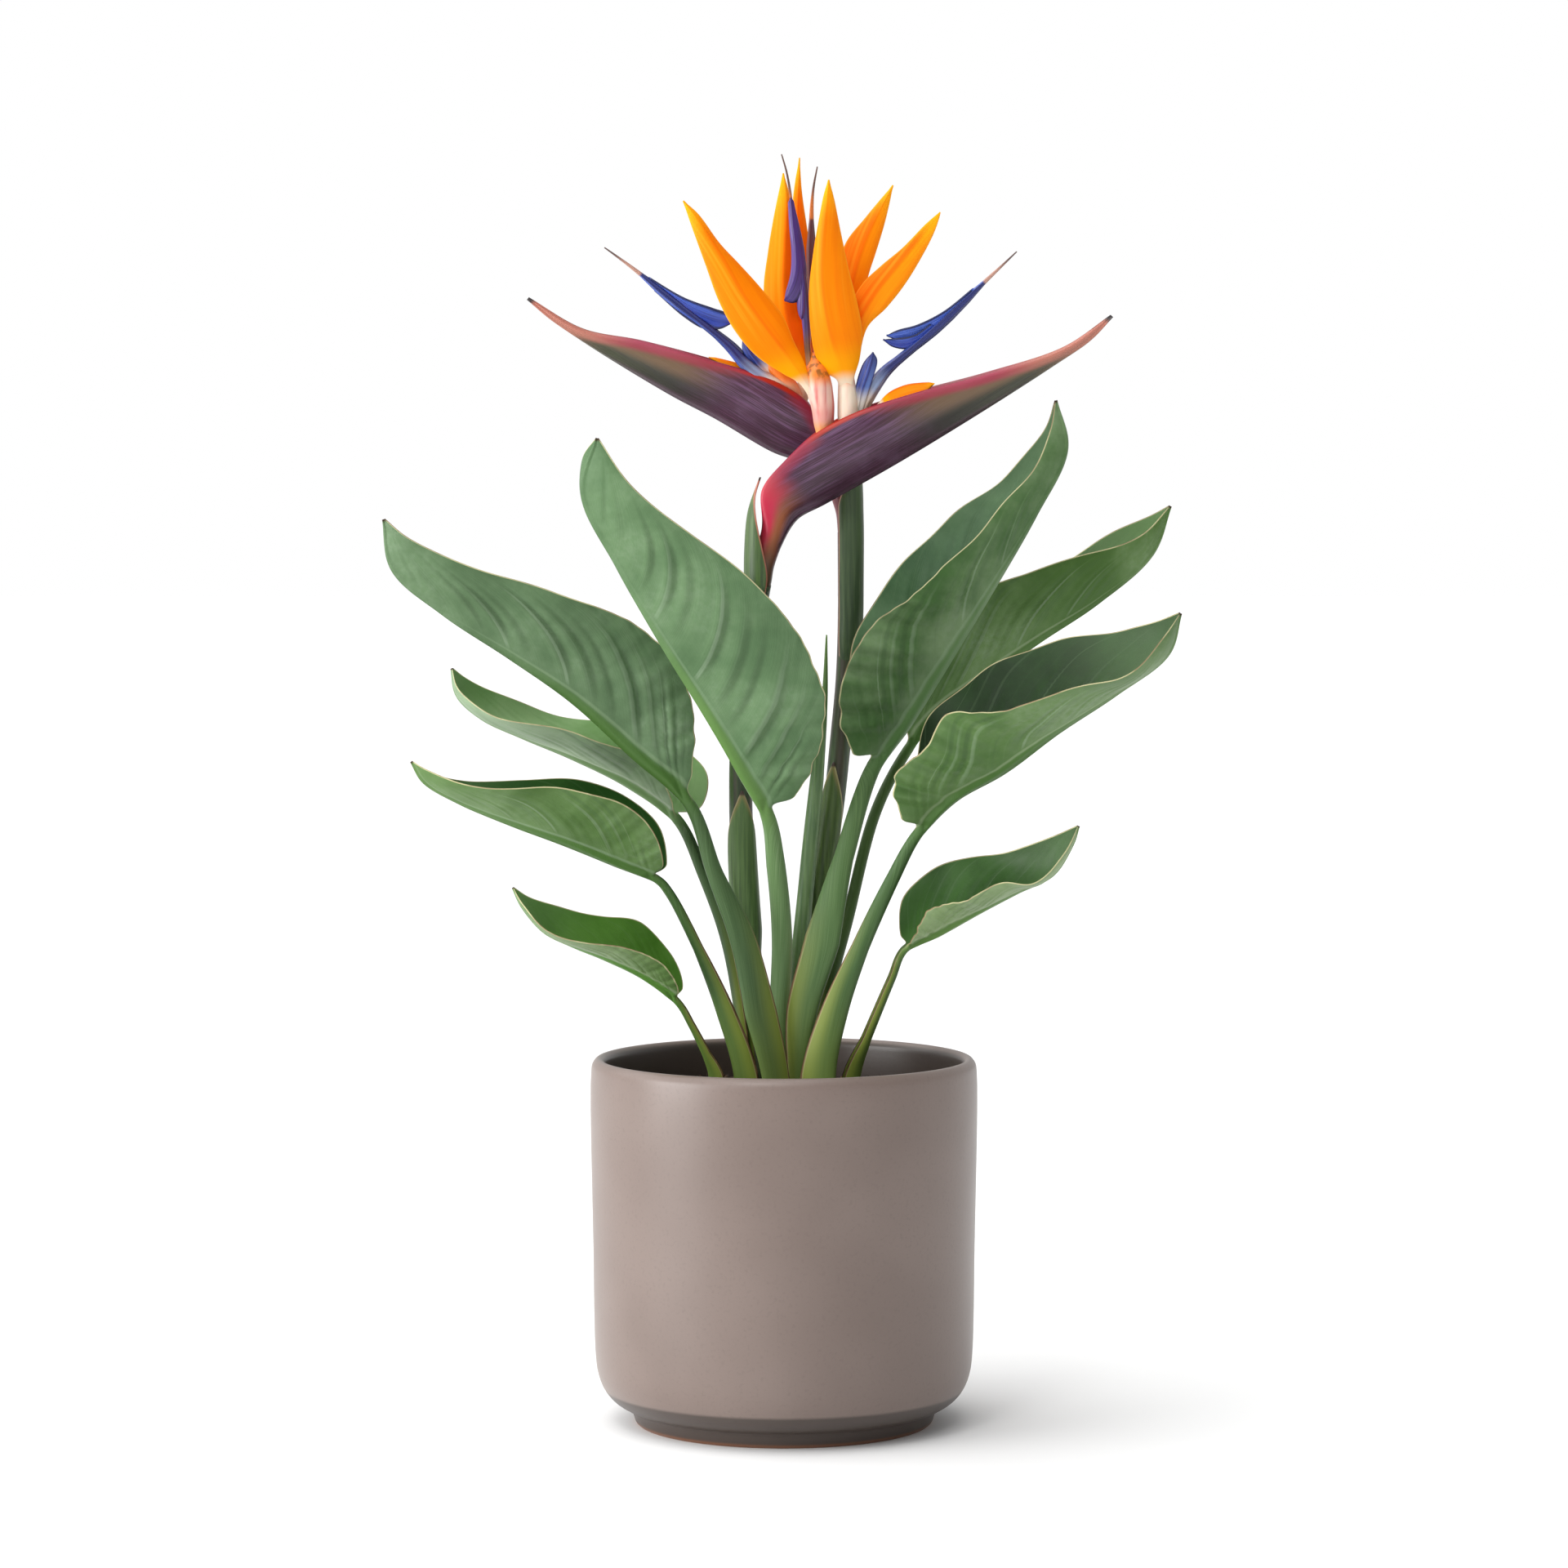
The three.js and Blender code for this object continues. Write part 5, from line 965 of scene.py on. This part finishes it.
# ----------------------------------------
# The sepals: three long orange blades of petal tissue to each flower, folded softly along the middle
# and pointed. Each grows by a pale claw from its tube's top. Two buds only start to leave the spathes.
# ----------------------------------------
SEPAL_THICKNESS = 1.2
SEPAL_ROWS = 130
SEPAL_COLUMNS = 33
CLAW_WIDTH = 3.2
# Each sepal's two halves get their own orange as painted light and shade: the lit side of the fold lighter.
sepals = {
  "sepal_front_left": dict(
    claw=[17, 6.4, 503], halves=["#fb8200", "#fb8400"],
    keel=[[11.2, 3, 511.4], [2, -1, 524.6], [-8, -4, 538], [-20, -7, 555], [-30, -9, 572], [-41, -9, 589],
      [-49.3, -8, 600.4]],
    near=[[8, 4, 511.6], [-1, 3, 517], [-13, 1, 525], [-23.5, -2, 537], [-31.5, -4, 551.5], [-38, -6, 569],
      [-44, -7, 585.4]],
    far=[[13, 4, 513], [10, 3, 521.6], [5, 2, 531.5], [-1, 0, 545], [-11, -2, 557.5], [-21.5, -4, 569],
      [-31.5, -6, 579.5], [-42, -7, 593.7]],
  ),
  "sepal_centre_left": dict(
    claw=[16.6, 8.6, 501], halves=["#ff8e00", "#fa6400"],
    keel=[[12.6, 9, 511.4], [6.4, 9, 528], [1.6, 9, 544], [0, 9, 558], [0.4, 10, 578.5], [1.2, 12, 600],
      [-0.4, 14, 615.5]],
    near=[[9.8, 10, 511.6], [0, 12, 528], [-8, 13, 542], [-9.8, 14, 558.4], [-7.8, 14, 576],
      [-5.2, 14, 592], [-2.4, 14, 606]],
    far=[[15, 10, 511.6], [12.8, 12, 532], [8.8, 13, 548], [6.8, 14, 564], [5.2, 14, 580], [3.6, 15, 596],
      [1.6, 15, 608]],
  ),
  "sepal_back": dict(
    claw=[8, 29.6, 503], halves=["#fb8400", "#f87000"],
    keel=[[10.2, 28, 511.6], [8.1, 26, 528.4], [7.3, 25, 548.5], [6.9, 25, 568.6], [6.5, 26, 588.7],
      [6.9, 28, 607], [7.7, 30, 624.3]],
    near=[[7, 28.6, 511.6], [2.4, 28, 528.5], [0.8, 27, 548.6], [1.2, 27, 568.7], [3.2, 28, 589],
      [5.2, 29, 609]],
    far=[[13.6, 28.6, 511.6], [15.4, 28, 528.5], [15.8, 27, 548.6], [14.5, 27, 568.7], [11.3, 28, 589],
      [8.5, 29, 609]],
  ),
  "sepal_front_right": dict(
    claw=[31.2, 8.6, 504], halves=["#fb8a04", "#fb8600"],
    keel=[[30, 5, 513.6], [26.4, 1, 523.5], [22, -3, 539.2], [19, -6, 559], [19, -8, 578.6],
      [20.7, -9, 598.3], [21.8, -9, 610.6]],
    near=[[26, 5.6, 513.6], [20, 5, 517.6], [15.4, 4, 526], [13.2, 2, 538], [12.4, -1, 556],
      [14.5, -4, 575], [17.1, -6, 590.6], [20, -8, 605]],
    far=[[34, 5.6, 513.6], [36.8, 5, 523.6], [38, 3, 536.7], [36, 1, 549.4], [31.5, -2, 566.7],
      [28, -4, 582.8], [24.3, -7, 600.8]],
  ),
  "sepal_right_upper": dict(
    claw=[31.2, 10, 502], halves=["#f97800", "#ff9206"],
    keel=[[31, 11.8, 513.6], [30.5, 14, 532], [31.3, 15, 548], [34.6, 17, 564], [39.4, 20, 580.3],
      [46.7, 24, 596.6], [54, 27, 610.5]],
    near=[[28.5, 12.4, 513.8], [25.7, 16, 532], [24.5, 18, 548], [25.8, 20, 564.3], [30.6, 22, 581.3],
      [40.3, 25, 594], [49.6, 27, 605.2]],
    far=[[33.4, 12.4, 513.8], [35.8, 16, 532], [37.8, 18, 548], [41.5, 20, 565.5], [45, 22, 576.4],
      [49.6, 25, 591.5], [52.4, 27, 603.2]],
  ),
  "sepal_right_lower": dict(
    claw=[31.8, 9, 502], halves=["#f96e00", "#ff9408"],
    keel=[[32, 8.2, 513.6], [33, 8, 527.7], [37, 7, 541.7], [45.6, 6, 556.4], [56, 4, 569.4],
      [67, 3, 583.3], [76.6, 2, 595.5]],
    near=[[29.7, 8.8, 513.8], [29, 9, 529.8], [31, 9, 545.7], [38, 8, 559.7], [47.6, 7, 569.2],
      [58, 5, 577.8], [70, 3, 590]],
    far=[[34.3, 8.8, 513.8], [37.3, 9, 527.8], [41, 9, 539.8], [50, 8, 549], [58.5, 7, 559.6],
      [66, 5, 571.5], [73.5, 3, 586]],
  ),
  "sepal_bud_left": dict(
    halves=["#fb8a04", "#fb7800"],
    keel=[[-4, 32.5, 511.6], [-10, 32, 516.6], [-17, 31.6, 520], [-25, 31, 522.6], [-37.5, 31, 525.6]],
    near=[[-5, 30, 508.6], [-11, 29.4, 512], [-19, 29.2, 515.6], [-28, 29.4, 520.4]],
    far=[[-5, 35, 508.6], [-11, 35, 512], [-19, 34.6, 515.6], [-28, 33, 520.4]],
  ),
  "sepal_bud_right": dict(
    halves=["#fb8a04", "#fb7800"],
    keel=[[46, 9, 501], [52, 9, 507], [60, 8.6, 510.6], [67, 8.4, 511.6], [74, 8, 511.9]],
    near=[[47, 6, 497.5], [53, 5.4, 500], [61, 5.4, 503.5], [68, 6, 507]],
    far=[[47, 12, 497.5], [53, 12.4, 500], [61, 12, 503.5], [68, 11, 507]],
  ),
}


def sepal_material(near_half, far_half):
    """Sepal skin: matte satin petal tissue, saturated orange, with fine lengthwise veins, each side of the
    fold in its own orange, painted lighter where lit and darker where shaded, a yellower margin and tip, and
    a cream claw."""
    material, tree, side, rib, edge, share, inside, grain = start_material(
        "orange sepal skin", "side", "rib", "edge", "share", "inside", "grain")
    veins = add_node(tree, "TexNoise", {"Vector": grain, "Scale": 1.4, "Detail": 3.0})
    broad = add_node(tree, "TexNoise", {"Vector": grain, "Scale": 0.35, "Detail": 2.0})
    colour = layered(tree, near_half, [
        # Painted light and shade: the far half takes its own lighter or darker orange.
        (far_half, 1.0, (side, -0.15, 0.15)),
        ("#f06400", 0.25, (veins, 0.42, 0.7)),
        ("#ffae28", 0.35, (broad, 0.52, 0.68), (share, 0.3, 0.5)),
        ("#ee5f00", 0.3, (broad, 0.48, 0.32)),
        ("#ee5f00", 0.4, (rib, 1.4, 0.1)),
        ("#ffa41c", 0.6, (edge, 1.2, 0.2)),
        ("#ffae10", 0.8, (share, 0.8, 0.98)),
        ("#ffa200", 0.85, (share, 0.3, 0.17)),
        ("#e8d2b8", 1.0, (share, 0.15, 0.08)),
        ("#d98f86", 0.5, (share, 0.07, 0.0), (veins, 0.4, 0.6)),
        ("#c9763a", 0.5, (inside, 0.2, 0.8), (share, 0.3, 0.1)),
    ])
    finish_material(tree, colour, 0.5, (veins, 0.2, FINE_RELIEF), {"Specular IOR Level": 0.08})
    return material


for name, sepal in sepals.items():
    if "claw" in sepal:
        x, y, z = sepal["claw"]
        sepal = dict(sepal, keel=[[x, y - 0.6, z]] + sepal["keel"],
                     near=[[x - CLAW_WIDTH, y + 1.4, z]] + sepal["near"],
                     far=[[x + CLAW_WIDTH, y + 1.4, z]] + sepal["far"])
    body, measures = blade(sepal, 0, SEPAL_ROWS, SEPAL_COLUMNS, SEPAL_THICKNESS, bulge=0.07, rib=0.15)
    add_piece(name + "_blade", body, sepal_material(*sepal["halves"]), [name], measures)

# ----------------------------------------
# The small petals: short blue hoods of smooth petal tissue, one to each flower head. They grow beside
# the tubes and stand close to them.
# ----------------------------------------
PETAL_ROWS = 60
petals = {
  "petal_left": dict(
    keel=[[-6.5, 27, 515], [-12, 25, 521], [-17, 23.6, 527.5], [-20.4, 23, 535]],
    near=[[-9.4, 27, 515], [-16, 25.6, 521.6], [-20.4, 24.4, 529]],
    far=[[-3.8, 27, 519], [-7.4, 25.6, 527], [-14.6, 24.4, 533]],
  ),
  "petal_right": dict(
    keel=[[36, 8.2, 497], [37.8, 7.8, 508], [41, 6, 518], [43.6, 4, 527.2]],
    near=[[34, 8.4, 498], [35.2, 8.2, 510], [39, 6.4, 521.7]],
    far=[[38.4, 8.4, 498], [43.4, 8.2, 514], [45.6, 6.4, 523.3]],
  ),
}


def petal_material(name, base, groove, light, foot):
    """Blue petal skin: smooth and satin, with darker grooves and margins, a painted highlight on the far
    side and a pale foot."""
    material, tree, side, edge, share, grain = start_material(name, "side", "edge", "share", "grain")
    veins = add_node(tree, "TexNoise", {"Vector": grain, "Scale": 1.6, "Detail": 3.0})
    colour = layered(tree, base, [
        (groove, 0.8, (veins, 0.42, 0.66)),
        # Painted highlight on the far side.
        (light, 0.8, (side, -0.1, 0.6), (share, 1.0, 0.5)),
        (groove, 0.9, (edge, 0.8, 0.2)),
        (groove, 0.6, (share, 0.7, 1.0)),
        (foot, 1.0, (share, 0.45, 0.12)),
    ])
    finish_material(tree, colour, 0.36, (veins, 0.25, FINE_RELIEF))
    return material


blue_petal = petal_material("blue petal skin", "#2b4296", "#1c2460", "#5a7cc4", "#e4dcd0")
for name, petal in petals.items():
    body, measures = blade(petal, 0, PETAL_ROWS, SEPAL_COLUMNS, SEPAL_THICKNESS, bulge=0.06, rib=0.7)
    add_piece(name + "_hood", body, blue_petal, [name], measures)

# ----------------------------------------
# The arrow petals: two blue petals grown together into an arrow that holds the style. A slim shaft
# swells into a grooved head with backward lobes, and the style leaves it as a fine whisker.
# ----------------------------------------
SHAFT_SIDES = 36
SHAFT_ROWS = 160
LOBE_COLUMNS = 21
arrows = {
  "arrow_left": dict(
    finish="blue",
    path=[[2.4, 28, 508.6], [-4, 27, 512.6], [-11.4, 26.4, 516.6], [-18.8, 26, 522.4], [-26.4, 26.2, 530.6],
      [-35.5, 26, 538.5], [-48.5, 26, 548.5], [-61.3, 25, 558.5], [-71.8, 25, 567], [-80.3, 25, 573.4],
      [-88.7, 25, 579.4]],
    radii=[3.4, 3.6, 3.4, 2.8, 2, 1.9, 2.3, 2, 1, 0.6, 0.3],
    lobes=[dict(
      wing=1,
      keel=[[-68.6, 25, 564.6], [-57.3, 24, 556.5], [-44.4, 24, 548], [-34, 24, 543.6], [-25.4, 24, 542.4]],
      near=[[-66, 23.6, 564], [-49.2, 22, 554.4], [-34.7, 22, 549.2], [-28.2, 23, 546.8]],
      far=[[-64, 26, 558], [-49.3, 26, 545.3], [-39.6, 26, 539.7], [-31.5, 25, 539.6]],
    )],
  ),
  "arrow_centre": dict(
    finish="violet",
    path=[[13.4, 6, 511.4], [11.6, 5, 527.6], [10.8, 3, 539.5], [9.6, 1, 555.3], [8, 1, 569.2],
      [6, 2, 583.2], [4, 3, 597.2], [2.8, 4, 606.4], [1.2, 4, 615.1], [-1.2, 4, 623.5]],
    radii=[1.3, 1.3, 1.5, 1.9, 2, 1.8, 1.1, 0.7, 0.5, 0.3],
    lobes=[dict(
      wing=1,
      keel=[[3.2, 3, 603], [4.4, 1, 590], [5.8, 0, 578], [6, -1, 566], [3.8, -1, 558], [0.2, 1, 552]],
      near=[[2.7, 3, 598], [3, 2, 587], [3.9, 2, 575], [3.4, 2, 565], [1.4, 2, 557]],
      far=[[4.4, 3, 598], [7.6, 2, 587], [10, 2, 575], [10.8, 2, 563], [8.4, 2, 553], [4, 1, 551]],
    ), dict(
      wing=1, keel=[[8.4, 1, 568], [9.2, 0, 557], [9, 0, 548.6], [8.4, 1, 543]],
      near=[[7, 2, 563], [6.4, 2, 553], [7, 2, 547]],
      far=[[10.6, 2, 563], [11.4, 2, 553], [10.6, 2, 545.6]],
    )],
  ),
  "arrow_right": dict(
    finish="blue",
    path=[[36.8, 12, 495], [39.4, 12, 503], [44.6, 12, 511.2], [50, 12, 518], [57.8, 12, 524.8],
      [67, 12, 532.3], [76.3, 12, 540.3], [87.5, 12, 551], [98.3, 12, 561.5], [106.3, 12, 569],
      [114.3, 12, 576.6]],
    radii=[3.4, 3.6, 3, 2.1, 1.9, 2.3, 2.3, 1.9, 1, 0.6, 0.3],
    lobes=[dict(
      # wing 2 is the upper wing, painted lighter as painted light.
      wing=2, keel=[[95.5, 12, 559], [82, 11, 547], [70, 11, 539], [59.4, 11, 536], [50.2, 11, 535.4]],
      near=[[92, 10.6, 557.6], [78, 9, 546.8], [65, 9, 540.4], [56, 9.6, 538]],
      far=[[92, 13, 553.6], [79.5, 13, 541.5], [66.3, 13, 533], [56, 12.4, 533.6]],
    ), dict(
      wing=1, keel=[[74, 11, 540], [66, 11, 534], [58, 11, 531.4], [48.6, 11, 533.4]],
      near=[[72, 10, 541], [64, 9.6, 535.6], [55, 10, 534]],
      far=[[74, 12.4, 537], [64, 12.4, 529.6], [54, 12, 530]],
    )],
  ),
  "arrow_back": dict(
    finish="brown",
    path=[[12.8, 26.4, 511.6], [13.6, 24, 528], [14.2, 21, 548.3], [13.7, 19, 566], [13.5, 19, 579],
      [13.5, 19, 591], [13.8, 19, 601], [14.6, 20, 609], [16.4, 21, 618.8]],
    radii=[1.2, 1.2, 1.3, 1.7, 2.4, 2.3, 1.1, 0.6, 0.3],
    lobes=[],
  ),
}


def arrow_material(name, shaft, base, groove, light, foot, root, whisker, whisker_from):
    """Arrow petal skin: smooth satin, dark along the shaft and brighter on the wings, with darker grooves,
    a pale foot, and the style that ends it as a dry brown whisker with a dark point. A painted highlight
    runs along one side of the shaft and of each wing. The measure "wing" is 0 on the shaft, 1 on a wing
    and 2 on a wing painted lighter all over as a lit one."""
    material, tree, side, share, wing, grain = start_material(name, "side", "share", "wing", "grain")
    level = add_node(tree, "Math", {0: side}, operation="ABSOLUTE")
    veins = add_node(tree, "TexNoise", {"Vector": grain, "Scale": 1.8, "Detail": 3.0})
    colour = layered(tree, shaft, [
        # Painted highlights: one side of the shaft, the whole of a lit wing, and one side of each wing.
        (light, 0.6, (side, -0.4, -0.8), (wing, 0.5, 0.3)),
        (base, 1.0, (wing, 0.2, 0.8)),
        (light, 0.85, (wing, 1.2, 1.8)),
        (light, 0.45, (side, 0.1, -0.7), (wing, 0.5, 1.0)),
        (groove, 0.6, (veins, 0.46, 0.64)),
        (groove, 0.9, (level, 0.7, 0.92), (wing, 0.3, 0.8)),
        (foot, 1.0, (share, 0.27, 0.15)),
        (root, 1.0, (share, 0.16, 0.07)),
        (whisker, 1.0, (share, whisker_from, whisker_from + 0.015)),
        ("#4a3a38", 0.9, (share, whisker_from + 0.07, whisker_from + 0.16)),
    ])
    finish_material(tree, colour, 0.34, (veins, 0.2, FINE_RELIEF))
    return material


arrow_finishes = {
    "blue": arrow_material("blue arrow petal", "#1e2768", "#1f389c", "#12173f", "#5876d6", "#8090b2",
                           "#e2cdb8", "#b08474", 0.8),
    "violet": arrow_material("violet arrow petal", "#382260", "#452c72", "#1a1030", "#7458b0", "#6b4020",
                             "#b47e50", "#b8682c", 0.72),
    "brown": arrow_material("brown arrow petal", "#5a3038", "#5a3038", "#34202a", "#8a5a58", "#c06030",
                            "#c06030", "#c8702c", 0.75),
}
for name, arrow in arrows.items():
    path, radii = arrow["path"], arrow["radii"]
    along = np.linspace(0, 1, SHAFT_ROWS)[:, None]
    turn = np.linspace(0, 2 * np.pi, SHAFT_SIDES, endpoint=False)[None]
    across = evenly(radii, along) * np.cos(turn)
    share = along + 0 * across
    length = np.linalg.norm(np.diff(path, axis=0), axis=1).sum()
    grain = np.stack([3 * across, GRAIN_STRETCH * length * share, 0 * share], axis=-1)
    measures = dict(side=-np.cos(turn) + 0 * across, share=share, wing=0 * share, grain=grain)
    measures = {key: with_ends(values) for key, values in measures.items()}
    points, faces = closed_rings(tube_rings(path, radii, SHAFT_SIDES, SHAFT_ROWS, groove=0.1))
    for lobe in arrow["lobes"]:
        (lobe_points, lobe_faces), on_lobe = blade(lobe, 0, PETAL_ROWS, LOBE_COLUMNS, SEPAL_THICKNESS,
                                                   bulge=0.12, rib=0.7)
        faces = faces + [[corner + len(points) for corner in face] for face in lobe_faces]
        points = np.concatenate([points, lobe_points])
        on_lobe["share"] = 0.4 + 0.1 * on_lobe["share"]
        on_lobe["wing"] = lobe["wing"] + 0 * on_lobe["share"]
        measures = {key: np.concatenate([values, on_lobe[key]]) for key, values in measures.items()}
    add_piece(name + "_petal", (points, faces), arrow_finishes[arrow["finish"]], [name],
              measures)

# ----------------------------------------
# The studio: a plain white floor under a white sky, one broad lamp high on the left with two small soft
# ones beside it, and the camera level with the upper leaves, looking slightly down.
# ----------------------------------------
FLOOR_SIZE = 60.0
FLOOR_WHITE = (0.92, 0.92, 0.92, 1)
FRONT_LIGHT = 0.22
BACK_LIGHT = 0.8
CAMERA_PLACE = (0, -2.299, 0.4387)
CAMERA_TILT = 86.93
CAMERA_LENS = 107.53
CAMERA_SENSOR = 36

floor_mesh = bpy.data.meshes.new("studio_floor")
floor_corners = [[x * FLOOR_SIZE / 2, y * FLOOR_SIZE / 2, 0] for x, y in ((-1, -1), (1, -1), (1, 1), (-1, 1))]
floor_mesh.from_pydata(floor_corners, [], [[0, 1, 2, 3]])
floor_finish, floor_tree = start_material("white studio floor")
finish_material(floor_tree, FLOOR_WHITE, 0.9, None, {"Specular IOR Level": 0.0})
floor_mesh.materials.append(floor_finish)
floor = bpy.data.objects.new("studio_floor", floor_mesh)
bpy.context.scene.collection.objects.link(floor)

sky = bpy.data.worlds.new("studio_sky")
bpy.context.scene.world = sky
sky.use_nodes = True
sky.node_tree.nodes.clear()
# The light is brighter from behind than from the camera's side. The camera itself sees plain white.
tree = sky.node_tree
way = add_node(tree, "TexCoord", None, "Generated")
depth = add_node(tree, "SeparateXYZ", {"Vector": way}, "Y")
step = {"Value": depth, "From Min": -0.7, "From Max": 0.7, "To Min": FRONT_LIGHT, "To Max": BACK_LIGHT}
glow = add_node(tree, "MapRange", step, interpolation_type="SMOOTHSTEP")
seen = add_node(tree, "LightPath", None, "Is Camera Ray")
strength = add_node(tree, "Math", {0: glow, 1: seen}, operation="MAXIMUM")
backdrop = add_node(tree, "Background", {"Color": (1, 1, 1, 1), "Strength": strength})
add_node(tree, "OutputWorld", {"Surface": backdrop})


def add_lamp(name, kind, energy, towards, **settings):
    """A lamp that shines back along the direction towards it; its settings are Blender's own names."""
    lamp = bpy.data.lights.new(name, kind)
    lamp.energy = energy
    for key, value in settings.items():
        setattr(lamp, key, value)
    holder = bpy.data.objects.new(name, lamp)
    holder.location = towards
    holder.rotation_euler = Vector(towards).to_track_quat("Z", "Y").to_euler()
    bpy.context.scene.collection.objects.link(holder)


add_lamp("high_lamp", "SUN", 2.9, (-0.66, -0.30, 0.90), angle=math.radians(100))
add_lamp("left_softbox", "AREA", 24.0, (-1.7, -0.75, 0.30), size=1.1)
add_lamp("front_strip", "AREA", 4.0, (-0.5, -1.3, 1.7), size=0.35)

eye = bpy.data.cameras.new("camera")
eye.lens = CAMERA_LENS
eye.sensor_width = CAMERA_SENSOR
camera = bpy.data.objects.new("camera", eye)
camera.location = CAMERA_PLACE
camera.rotation_euler = (math.radians(CAMERA_TILT), 0, 0)
bpy.context.scene.collection.objects.link(camera)
bpy.context.scene.camera = camera
# The colours are plain sRGB, so no film curve is laid over them.
bpy.context.scene.view_settings.view_transform = "Standard"
